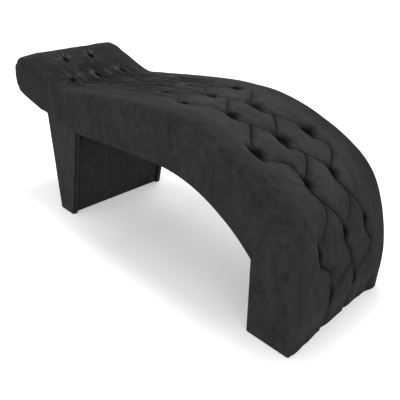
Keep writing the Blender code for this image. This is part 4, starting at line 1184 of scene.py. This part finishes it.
def wall_cloth():
    low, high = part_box("leg_wall_cover")
    shape = bmesh.new()
    width = high.y - low.y
    shares = [gap / width for gap in TUCK_ROWS] + [1 - gap / width for gap in TUCK_ROWS]
    shares = sorted([*counts(width, LEG_STEP), *shares])
    layer = shape.verts.layers.float.new("painted_shade")
    grid = [[shape.verts.new(place) for place in wall_row(low.y + share * width, share)] for share in shares]
    for share, row in zip(shares, grid):
        for vert in row:
            vert[layer] = painted_wall_shade(vert.co, min(share, 1 - share) * width, high.z)
    join_rows(shape, grid)
    shape.normal_update()
    middle = (low + high) / 2
    outward = sum(
        (face.calc_center_median() - middle).dot(face.normal) * face.calc_area() for face in shape.faces
    )
    if outward < 0:
        bmesh.ops.reverse_faces(shape, faces=shape.faces)
    piece = piece_from("leg_wall_cloth", shape)
    solidify = piece.modifiers.new("thickness", "SOLIDIFY")
    solidify.thickness, solidify.offset = LEG_WRAP, -1.0
    return applied(piece)


leg_walls = wall_cloth()
print(f"leg walls: {len(leg_walls.data.polygons)} faces")

# %% [markdown]
# A finish is a small network of nodes. One helper adds a node, gives it its settings and links its
# inputs, so each material below reads like a list of what the surface has. Colours are written as the
# hex values that a picture program shows, and one function turns them into linear light.

# %% Colour and node helpers
def colour(hex_value):
    channels = [int(hex_value[i : i + 2], 16) / 255 for i in (1, 3, 5)]
    linear = [c / 12.92 if c <= 0.04045 else ((c + 0.055) / 1.055) ** 2.4 for c in channels]
    return (*linear, 1.0)


def add(tree, kind, inputs=(), **settings):
    """Adds a node; inputs are (name or number, value, socket or node, whose first live output is taken)."""
    made = tree.nodes.new(kind)
    for name, value in settings.items():
        setattr(made, name, value)
    for name, value in inputs:
        if isinstance(value, bpy.types.Node):
            value = next(output for output in value.outputs if output.enabled)
        if isinstance(value, bpy.types.NodeSocket):
            tree.links.new(value, made.inputs[name])
        else:
            made.inputs[name].default_value = value
    return made


def new_material(name):
    """An empty finish: the material, its tree and the place on the object in metres."""
    made = bpy.data.materials.new(name)
    made.use_nodes = True
    made.node_tree.nodes.clear()
    return made, made.node_tree, add(made.node_tree, "ShaderNodeTexCoord").outputs["Object"]


def finish_with(tree, inputs):
    """The surface itself, linked to the material's output."""
    add(tree, "ShaderNodeOutputMaterial", [("Surface", add(tree, "ShaderNodeBsdfPrincipled", inputs))])

# %% [markdown]
# Micro suede is a polyester cloth whose surface is sanded to a short nap. It has no shine of its own. The
# nap lies in patches, a little lighter or darker as a hand last stroked it. The nap is far finer than a
# pixel, so its grain is drawn at about six millimetres, and long faint runs cross it. Folds and pits get
# painted shade, small ridges a painted highlight, and small hollows painted shade.

# %% Micro suede
def suede_material(name, dark, light, streak):
    made, tree, place = new_material(name)
    run_place = add(tree, "ShaderNodeMapping", [("Vector", place), ("Scale", streak)])
    tone, patterns = 0.0, []
    # broad shades, patches, grain and runs, each with its size in mm, detail, roughness and weight
    for where, size, detail, rough, weight in (
        (place, 200, 2.0, 0.5, 0.20),
        (place, 30, 4.0, 0.6, 0.26),
        (place, 6, 3.0, 0.8, 0.32),
        (run_place, 18, 3.0, 0.5, 0.22),
    ):
        settings = [("Vector", where), ("Scale", 1 / (size * MM)), ("Detail", detail), ("Roughness", rough)]
        patterns.append(add(tree, "ShaderNodeTexNoise", settings))
        weighed = [(0, patterns[-1]), (1, weight), (2, tone)]
        tone = add(tree, "ShaderNodeMath", weighed, operation="MULTIPLY_ADD")
    relief = add(tree, "ShaderNodeAttribute", attribute_name="fine_relief").outputs["Fac"]
    painted_shade_amount = add(tree, "ShaderNodeAttribute", attribute_name="painted_shade").outputs["Fac"]
    # the fine relief shifts the tone: painted highlight on raised ridges, painted shade in sunk ones
    tone = add(tree, "ShaderNodeMath", [(0, relief), (1, 0.12), (2, tone)], operation="MULTIPLY_ADD")
    share = add(tree, "ShaderNodeMapRange", [("Value", tone), ("From Min", 0.39), ("From Max", 0.61)])
    cloth = add(tree, "ShaderNodeMix", [(0, share), (6, colour(dark)), (7, colour(light))], data_type="RGBA")
    # painted highlight on ridges, painted shade in hollows, and the deepest painted shade in folds, pits and
    # the leg's seams and tucks
    for value, begins, ends, most, shade in (
        (relief, 0.5, 2.2, 0.8, "#525254"),
        (relief, -0.1, -1.6, 0.7, "#0C0C0C"),
        (painted_shade_amount, 0.03, 0.66, 0.97, "#050505"),
    ):
        reach = [("Value", value), ("From Min", begins), ("From Max", ends), ("To Max", most)]
        shaded = [(0, add(tree, "ShaderNodeMapRange", reach)), (6, cloth), (7, colour(shade))]
        cloth = add(tree, "ShaderNodeMix", shaded, data_type="RGBA")
    crumple = add(tree, "ShaderNodeTexNoise", [("Vector", place), ("Scale", 1 / (12 * MM)), ("Detail", 3.0)])
    grain = patterns[2]
    height = add(tree, "ShaderNodeMath", [(0, grain), (1, 0.4), (2, crumple)], operation="MULTIPLY_ADD")
    bump = add(tree, "ShaderNodeBump", [("Height", height), ("Distance", 0.5 * MM), ("Strength", 0.6)])
    finish_with(tree, [
        ("Base Color", cloth),
        ("Roughness", 0.92),
        ("Specular IOR Level", 0.1),
        ("Sheen Weight", 0.05),
        ("Sheen Roughness", 0.5),
        ("Sheen Tint", colour("#8C8C90")),
        ("Normal", bump),
    ])
    return made


SUEDE = suede_material("charcoal_micro_suede", "#18181A", "#303031", (0.6, 1.0, 0.2))
# the same suede, its colour painted lighter on the leg, which stands in shade under the bed
LIGHTENED_LEG_SUEDE = suede_material("charcoal_micro_suede_lightened_on_leg", "#202021", "#363637", (1.0, 1.0, 0.2))

# %% [markdown]
# The cloth under the arch is a plain woven lining, because nobody sees it in use. It has no nap, so it is
# a shade darker than the suede and shows a faint weave. A wave texture draws about three bands in one
# unit of its scale, so a unit of 3.5 mm gives threads about a millimetre wide.

# %% Woven lining
THREE_THREADS = 3.5 * MM


def lining_material():
    made, tree, place = new_material("charcoal_woven_lining")
    threads = []
    for order, way in enumerate(("X", "Y")):
        thread = [("Vector", place), ("Scale", 1 / THREE_THREADS)]
        threads.append((order, add(tree, "ShaderNodeTexWave", thread, bands_direction=way).outputs["Fac"]))
    weave = add(tree, "ShaderNodeMath", threads, operation="MULTIPLY")
    patches = add(tree, "ShaderNodeTexNoise", [("Vector", place), ("Scale", 1 / (90 * MM)), ("Detail", 3.0)])
    share = add(tree, "ShaderNodeMath", [(0, weave), (1, 0.35), (2, patches)], operation="MULTIPLY_ADD")
    cloth = [(0, share), (6, colour("#1E1E1F")), (7, colour("#303032"))]
    bump = add(tree, "ShaderNodeBump", [("Height", weave), ("Distance", 0.2 * MM), ("Strength", 0.5)])
    finish_with(tree, [
        ("Base Color", add(tree, "ShaderNodeMix", cloth, data_type="RGBA")),
        ("Roughness", 0.9),
        ("Specular IOR Level", 0.2),
        ("Normal", bump),
    ])
    return made


LINING = lining_material()

# %% [markdown]
# Inside are the materials of the workshop. Birch plywood shows thin glued layers on its edges and a calm
# grain on its faces, pine has wide soft rings, and cut foam is a mass of open cells a millimetre or two
# wide. The twine is waxed and twisted, the bolts are zinc plated, and the glides are moulded plastic.

# %% Boards
def wood_material(name, dark, light, ring, pores, stretch):
    made, tree, place = new_material(name)
    grain_place = add(tree, "ShaderNodeMapping", [("Vector", place), ("Scale", stretch)])
    ring_settings = [("Vector", grain_place), ("Scale", 1 / ring), ("Distortion", 5.0)]
    ring_settings += [("Detail", 3.0), ("Detail Scale", 1.4)]
    rings = add(tree, "ShaderNodeTexWave", ring_settings, bands_direction="Z").outputs["Fac"]
    fibre_settings = [("Vector", grain_place), ("Scale", 1 / pores), ("Detail", 3.0), ("Roughness", 0.7)]
    fibre = add(tree, "ShaderNodeTexNoise", fibre_settings)
    tone = add(tree, "ShaderNodeMath", [(0, rings), (1, 0.5)], operation="MULTIPLY")
    tone = add(tree, "ShaderNodeMath", [(0, fibre), (1, 0.45), (2, tone)], operation="MULTIPLY_ADD")
    wood_mix = [(0, tone), (6, colour(dark)), (7, colour(light))]
    rough = [("Value", fibre), ("To Min", 0.55), ("To Max", 0.75)]
    bump = [("Height", fibre), ("Distance", 0.15 * MM), ("Strength", 0.5)]
    finish_with(tree, [
        ("Base Color", add(tree, "ShaderNodeMix", wood_mix, data_type="RGBA")),
        ("Roughness", add(tree, "ShaderNodeMapRange", rough)),
        ("Normal", add(tree, "ShaderNodeBump", bump)),
    ])
    return made


BIRCH = wood_material("birch_plywood", "#A9855C", "#D2B48A", 100 * MM, 6 * MM, (0.25, 0.25, 1.0))
PINE = wood_material("planed_pine", "#B98E56", "#DDBB84", 50 * MM, 5 * MM, (1.0, 0.12, 1.0))

# %% Foam, twine, zinc and plastic
def foam_material():
    made, tree, place = new_material("cut_upholstery_foam")
    cells = add(tree, "ShaderNodeTexVoronoi", [("Vector", place), ("Scale", 1 / (1.6 * MM))])
    stain = add(tree, "ShaderNodeTexNoise", [("Vector", place), ("Scale", 1 / (150 * MM)), ("Detail", 3.0)])
    share = add(tree, "ShaderNodeMath", [(0, cells), (1, 0.5), (2, stain)], operation="MULTIPLY_ADD")
    foam_mix = [(0, share), (6, colour("#D9C27A")), (7, colour("#EFDFA6"))]
    bump = [("Height", cells), ("Distance", 0.5 * MM), ("Strength", 0.8)]
    finish_with(tree, [
        ("Base Color", add(tree, "ShaderNodeMix", foam_mix, data_type="RGBA")),
        ("Roughness", 0.95),
        ("Specular IOR Level", 0.2),
        ("Normal", add(tree, "ShaderNodeBump", bump)),
    ])
    return made


def twine_material():
    made, tree, place = new_material("waxed_tufting_twine")
    strands = [("Vector", place), ("Scale", 1 / (2.2 * MM))]
    twist = add(tree, "ShaderNodeTexWave", strands, bands_direction="DIAGONAL").outputs["Fac"]
    twine_mix = [(0, twist), (6, colour("#A3926C")), (7, colour("#D8C9A4"))]
    bump = [("Height", twist), ("Distance", 0.3 * MM), ("Strength", 0.7)]
    finish_with(tree, [
        ("Base Color", add(tree, "ShaderNodeMix", twine_mix, data_type="RGBA")),
        ("Roughness", 0.55),
        ("Normal", add(tree, "ShaderNodeBump", bump)),
    ])
    return made


def zinc_material():
    made, tree, place = new_material("zinc_plated_steel")
    spangle = add(tree, "ShaderNodeTexNoise", [("Vector", place), ("Scale", 1 / (4 * MM)), ("Detail", 3.0)])
    zinc_mix = [(0, spangle), (6, colour("#A9ADB3")), (7, colour("#C9CCD1"))]
    rough = [("Value", spangle), ("To Min", 0.2), ("To Max", 0.5)]
    bump = [("Height", spangle), ("Distance", 0.05 * MM), ("Strength", 0.4)]
    finish_with(tree, [
        ("Base Color", add(tree, "ShaderNodeMix", zinc_mix, data_type="RGBA")),
        ("Metallic", 1.0),
        ("Roughness", add(tree, "ShaderNodeMapRange", rough)),
        ("Normal", add(tree, "ShaderNodeBump", bump)),
    ])
    return made


def plastic_material():
    made, tree, place = new_material("black_moulded_polypropylene")
    mould = add(tree, "ShaderNodeTexNoise", [("Vector", place), ("Scale", 1 / (1.5 * MM))])
    scuff = add(tree, "ShaderNodeTexNoise", [("Vector", place), ("Scale", 1 / (12 * MM)), ("Detail", 4.0)])
    plastic_mix = [(0, scuff), (6, colour("#161617")), (7, colour("#262627"))]
    rough = [("Value", scuff), ("To Min", 0.3), ("To Max", 0.6)]
    bump = [("Height", mould), ("Distance", 0.05 * MM), ("Strength", 0.5)]
    finish_with(tree, [
        ("Base Color", add(tree, "ShaderNodeMix", plastic_mix, data_type="RGBA")),
        ("Roughness", add(tree, "ShaderNodeMapRange", rough)),
        ("Normal", add(tree, "ShaderNodeBump", bump)),
    ])
    return made


FOAM, TWINE, ZINC, PLASTIC = foam_material(), twine_material(), zinc_material(), plastic_material()
print("materials:", ", ".join(sorted(material.name for material in bpy.data.materials)))

# %% Dress the frame's nodes
finish_of_slot = {
    "suede": SUEDE,
    "lining": LINING,
    "foam": FOAM,
    "plywood": BIRCH,
    "pine": PINE,
    "twine": TWINE,
    "bolt_steel": ZINC,
    "glide_plastic": PLASTIC,
}
slot_of_node = {part["node"]: part["material_slot"] for part in frame["record"]["subparts"]}


def dress(piece, finish, smooth_angle=None):
    piece.data.materials.clear()
    piece.data.materials.append(finish)
    if smooth_angle is not None:
        piece.data.shade_smooth()
        piece.data.set_sharp_from_angle(angle=math.radians(smooth_angle))


for name, node in frame["nodes"].items():
    dress(node, finish_of_slot[slot_of_node[name]])
print(f"{len(frame['nodes'])} nodes dressed")

# %% [markdown]
# Upholsterers close the underside with staples. A row of them follows the belly panel on each side. One
# bent wire is modelled, and Geometry Nodes puts a copy every few centimetres along a path, each turned a
# little by hand. The path stores which way is out of the cloth, so every staple lies flat on it.

# %% One staple
STAPLE_CROWN, STAPLE_LEG, STAPLE_WIRE, STAPLE_BEND = 11 * MM, 3 * MM, 0.55 * MM, 0.8 * MM


def staple_wire():
    curve = bpy.data.curves.new("staple", "CURVE")
    curve.dimensions = "3D"
    curve.bevel_depth = STAPLE_WIRE
    curve.bevel_resolution = 0
    curve.use_fill_caps = True
    half = STAPLE_CROWN / 2
    one_side = [(half - STAPLE_BEND, 0), (half, -STAPLE_BEND), (half, -STAPLE_LEG)]
    corners = [(-x, z) for x, z in reversed(one_side)] + one_side
    spline = curve.splines.new("POLY")
    spline.points.add(len(corners) - 1)
    for point, (x, z) in zip(spline.points, corners):
        point.co = (x, 0.0, z + STAPLE_WIRE * 0.6, 1.0)
    drawn = new_piece("staple_wire", curve)
    bpy.context.view_layer.update()
    mesh = bpy.data.meshes.new_from_object(drawn.evaluated_get(bpy.context.evaluated_depsgraph_get()))
    bpy.data.objects.remove(drawn)
    shape = bmesh.new()
    shape.from_mesh(mesh)
    bmesh.ops.remove_doubles(shape, verts=shape.verts, dist=SNAP)
    bmesh.ops.recalc_face_normals(shape, faces=shape.faces)
    return piece_from("staple_wire", shape)


staple = staple_wire()

# %% The staple tree
def staples_on_path():
    """Puts a staple at each step along a path, flat on the cloth and turned a little by chance."""
    tree = bpy.data.node_groups.new("staples_on_path", "GeometryNodeTree")
    for name, way, kind, value in (
        ("Path", "INPUT", "Geometry", None),
        ("Spacing", "INPUT", "Float", 28 * MM),
        ("Turn", "INPUT", "Float", 0.35),
        ("Seed", "INPUT", "Int", 7),
        ("Staple", "INPUT", "Object", None),
        ("Material", "INPUT", "Material", None),
        ("Staples", "OUTPUT", "Geometry", None),
    ):
        socket = tree.interface.new_socket(name, in_out=way, socket_type="NodeSocket" + kind)
        if value is not None:
            socket.default_value = value
    given = tree.nodes.new("NodeGroupInput").outputs
    path = add(tree, "GeometryNodeMeshToCurve", [("Mesh", given["Path"])])
    steps = [("Curve", path), ("Length", given["Spacing"])]
    spaced = add(tree, "GeometryNodeResampleCurve", steps, mode="LENGTH")
    stored = [("Name", "outward")]
    outward = add(tree, "GeometryNodeInputNamedAttribute", stored, data_type="FLOAT_VECTOR").outputs[0]
    axes = [("Primary Axis", outward), ("Secondary Axis", add(tree, "GeometryNodeInputTangent"))]
    flat_turn = add(tree, "FunctionNodeAxesToRotation", axes, primary_axis="Z", secondary_axis="X")
    least = add(tree, "ShaderNodeMath", [(0, given["Turn"]), (1, -1.0)], operation="MULTIPLY")
    chance = [(2, least), (3, given["Turn"]), ("Seed", given["Seed"])]
    by_hand = add(tree, "FunctionNodeRandomValue", chance, data_type="FLOAT").outputs[1]
    spin = add(tree, "ShaderNodeCombineXYZ", [("Z", by_hand)])
    by_chance = add(tree, "FunctionNodeEulerToRotation", [("Euler", spin)])
    turns = [("Rotation", flat_turn), ("Rotate By", by_chance)]
    both_turns = add(tree, "FunctionNodeRotateRotation", turns, rotation_space="LOCAL")
    wire = add(tree, "GeometryNodeObjectInfo", [("Object", given["Staple"])]).outputs["Geometry"]
    copies = [("Points", spaced), ("Instance", wire), ("Rotation", both_turns)]
    placed = add(tree, "GeometryNodeInstanceOnPoints", copies)
    real = add(tree, "GeometryNodeRealizeInstances", [("Geometry", placed)])
    coated = add(tree, "GeometryNodeSetMaterial", [("Geometry", real), ("Material", given["Material"])])
    add(tree, "NodeGroupOutput", [("Staples", coated)])
    return tree


staple_tree = staples_on_path()
print(f"staple tree: {len(staple_tree.nodes)} nodes")

# %% Two rows of staples along the belly
STAPLES_FROM_EDGE = 9 * MM


def staple_path(name, side):
    """Rows of edges on the cloth's face, none over the leg; each point stores the way out of the cloth."""
    line = begun_behind_face(lining_line, HEAD_SEAT + STAPLES_FROM_EDGE)[:-2]
    outer = offset_line(line, -1.0)
    y = side * (FRAME_HALF - STAPLES_FROM_EDGE)
    clear = [not seat_start.x < point.x < seat_end.x for point in line]
    runs = [(i, i + 1) for i in range(len(line) - 1) if clear[i] and clear[i + 1]]
    mesh = bpy.data.meshes.new(name)
    mesh.from_pydata([in_bed(point, y) for point in line], runs, [])
    stored = mesh.attributes.new("outward", "FLOAT_VECTOR", "POINT")
    for value, point, beyond in zip(stored.data, line, outer):
        away = beyond - point
        value.vector = (away.x, 0.0, away.y)
    return new_piece(name, mesh)


def stapled(name, side):
    piece = staple_path(name, side)
    modifier = piece.modifiers.new("staples", "NODES")
    modifier.node_group = staple_tree
    for item in staple_tree.interface.items_tree:
        if item.in_out == "INPUT" and item.name in ("Staple", "Material"):
            modifier[item.identifier] = staple if item.name == "Staple" else ZINC
    bpy.context.view_layer.update()
    return applied(piece)


staple_rows = [stapled("staples_" + word, side) for word, side in (("near", -1), ("far", 1))]
bpy.data.objects.remove(staple)
print(f"staples: {sum(len(row.data.polygons) for row in staple_rows)} faces")

# %% [markdown]
# Every cloth was a flat piece on the cutting table first. The belly cloth and the leg's wall cloth are
# plain rectangles, and an end panel's cloth is its face with a strip all round for the turn-over. The
# photograph gives no cut sizes, so they come from the lines that the cloth follows.

# %% What each cloth was cut to
def line_length(points):
    return sum((end - start).length for start, end in zip(points, points[1:]))


def end_cut(word):
    """The flat cut of an end panel's cloth: its size over all, and its area."""
    corners, (low, high) = outline_of("leg_end_cover_" + word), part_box("leg_end_cover_" + word)
    turned, closed = high.y - low.y, [*corners, corners[0]]
    face = sum(a.x * b.y - b.x * a.y for a, b in zip(closed, closed[1:])) / 2
    area = abs(face) + line_length(closed) * turned
    return (high.x - low.x + 2 * turned, high.z - low.z + 2 * turned), area


wall_low, wall_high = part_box("leg_wall_cover")
foot_out, foot_in, top_in, top_out = wall_corners
wall_cut = (wall_high.y - wall_low.y, line_length([top_out, foot_out, foot_in, top_in]))
belly_cut = (2 * FRAME_HALF, line_length(belly_corners[:-1]))
cuts = (("leg walls", wall_cut), ("end panel", end_cut("near")[0]), ("belly", belly_cut))
for word, (across, long) in cuts:
    print(f"{word}: cut to {across:.3f} x {long:.3f} m")

# %% [markdown]
# Now each dressed piece takes the place of its imported node and rides on the bed's one body. The cover and
# the foam are padded, and the other cloths are thin sheets, stretched over their boards.

# %% Finish the cloth pieces and hang everything on the frame
for piece, finish, angle, slot, node in (
    (cover, SUEDE, 70, "suede", "tufted_cover"),
    (foam, FOAM, 40, "foam", "foam_slab"),
    (belly_cloth, LINING, 40, "lining", "belly_panel"),
    (end_cloths["near"], LIGHTENED_LEG_SUEDE, 50, "suede", "leg_end_cover_near"),
    (end_cloths["far"], LIGHTENED_LEG_SUEDE, 50, "suede", "leg_end_cover_far"),
    (leg_walls, LIGHTENED_LEG_SUEDE, 50, "suede", "leg_wall_cover"),
):
    dress(piece, finish, angle)
    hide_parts(node)
    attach(piece, "root")
for row in staple_rows:
    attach(row, "root")
print(f"{6 + len(staple_rows)} dressed pieces ride on the bed")

# %% [markdown]
# The photograph was cut out on white, with a soft grey shadow right under the bed. The light is flat: most
# of it comes from all round, and four large weak softboxes stand round the bed and hang over it. The floor
# is pale. The camera alone sees some extra light in it, less of it under the bed, so the floor turns
# white all round while the shadow stays. The shadow is paler by the leg and the foot, so they get more.

# %% Floor and world
FLOOR_SIZE, FLOOR_CELLS, AMBIENT = 30.0, 8, 0.80
LIFT_UNDER, LIFT_ROUND, LIFT_REACH = 0.17, 0.62, 0.24
# where along the bed more lift begins and is whole, and how much
LEG_LIFT, FOOT_LIFT = (-0.1, -0.5, 0.14), (0.6, 1.0, 0.16)
scene = bpy.context.scene
scene.view_settings.view_transform = "Standard"


def seen_directly(tree):
    """1 for light paths that go straight to the camera or through a shiny or clear surface."""
    path = add(tree, "ShaderNodeLightPath").outputs
    direct = [(0, path["Is Camera Ray"]), (1, path["Is Glossy Ray"])]
    direct = [(0, add(tree, "ShaderNodeMath", direct, operation="MAXIMUM")), (1, path["Is Transmission Ray"])]
    return add(tree, "ShaderNodeMath", direct, operation="MAXIMUM")


def floor_material():
    made, tree, place = new_material("white_studio_floor")
    beyond = add(tree, "ShaderNodeVectorMath", [(0, place)], operation="ABSOLUTE")
    for operation, value in (("SUBTRACT", (LENGTH / 2, WIDTH / 2, 1.0)), ("MAXIMUM", (0.0, 0.0, 0.0))):
        beyond = add(tree, "ShaderNodeVectorMath", [(0, beyond), (1, value)], operation=operation)
    distance = add(tree, "ShaderNodeVectorMath", [(0, beyond)], operation="LENGTH").outputs["Value"]
    spread = [("Value", distance), ("From Max", LIFT_REACH), ("To Min", LIFT_UNDER), ("To Max", LIFT_ROUND)]
    lift = add(tree, "ShaderNodeMapRange", spread, interpolation_type="SMOOTHSTEP")
    along = add(tree, "ShaderNodeSeparateXYZ", [("Vector", place)]).outputs["X"]
    for begins, ends, more in (LEG_LIFT, FOOT_LIFT):
        reach = [("Value", along), ("From Min", begins), ("From Max", ends), ("To Max", more)]
        raised_lift = [(0, lift), (1, add(tree, "ShaderNodeMapRange", reach))]
        lift = add(tree, "ShaderNodeMath", raised_lift, operation="ADD")
    paint = add(tree, "ShaderNodeBsdfDiffuse", [("Color", colour("#E6E6E6"))])
    glow = add(tree, "ShaderNodeEmission", [("Color", colour("#FFFFFF")), ("Strength", lift)])
    lifted = add(tree, "ShaderNodeAddShader", [(0, paint), (1, glow)])
    shown = [("Fac", seen_directly(tree)), (1, paint), (2, lifted)]
    add(tree, "ShaderNodeOutputMaterial", [("Surface", add(tree, "ShaderNodeMixShader", shown))])
    return made


plane = bmesh.new()
bmesh.ops.create_grid(plane, x_segments=FLOOR_CELLS, y_segments=FLOOR_CELLS, size=FLOOR_SIZE / 2)
floor = piece_from("studio_floor", plane)
floor.data.materials.append(floor_material())
floor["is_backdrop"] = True

world = bpy.data.worlds.new("studio_world")
scene.world = world
world.use_nodes = True
sky = world.node_tree
sky.nodes.clear()
ambient = add(sky, "ShaderNodeBackground", [("Color", colour("#FFFFFF")), ("Strength", AMBIENT)])
white = add(sky, "ShaderNodeBackground", [("Color", colour("#FFFFFF")), ("Strength", 1.0)])
shown = add(sky, "ShaderNodeMixShader", [("Fac", seen_directly(sky)), (1, ambient), (2, white)])
add(sky, "ShaderNodeOutputWorld", [("Surface", shown)])
print(f"floor {FLOOR_SIZE:.0f} m wide, world at {AMBIENT:.2f}")

# %% Lamps
def softbox(name, place, aim, size, watts):
    data = bpy.data.lights.new(name, "AREA")
    data.shape = "RECTANGLE"
    data.size = data.size_y = size
    data.energy = watts
    lamp = bpy.data.objects.new(name, data)
    scene.collection.objects.link(lamp)
    lamp.location = place
    lamp.rotation_euler = (Vector(aim) - Vector(place)).to_track_quat("-Z", "Y").to_euler()


softbox("overhead_softbox", (-0.4, 1.4, 2.7), (0.0, 0.0, 0.3), size=1.2, watts=22.0)
softbox("front_softbox", (1.4, -2.6, 1.5), (0.0, 0.0, 0.3), size=1.8, watts=24.0)
softbox("foot_softbox", (2.6, -0.9, 2.2), (0.0, 0.0, 0.3), size=1.6, watts=12.0)
softbox("left_softbox", (-0.9, -3.0, 1.6), (0.0, 0.0, 0.4), size=1.8, watts=9.0)
print("lamps: overhead, front, foot and left")

# %% Sizes of the frame and the dressed bed
bpy.context.view_layer.update()
shown_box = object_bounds()
for word, (low, high) in (("frame", cad_box), ("dressed", shown_box)):
    print(word, [round(value / MM, 1) for value in high - low], "mm")
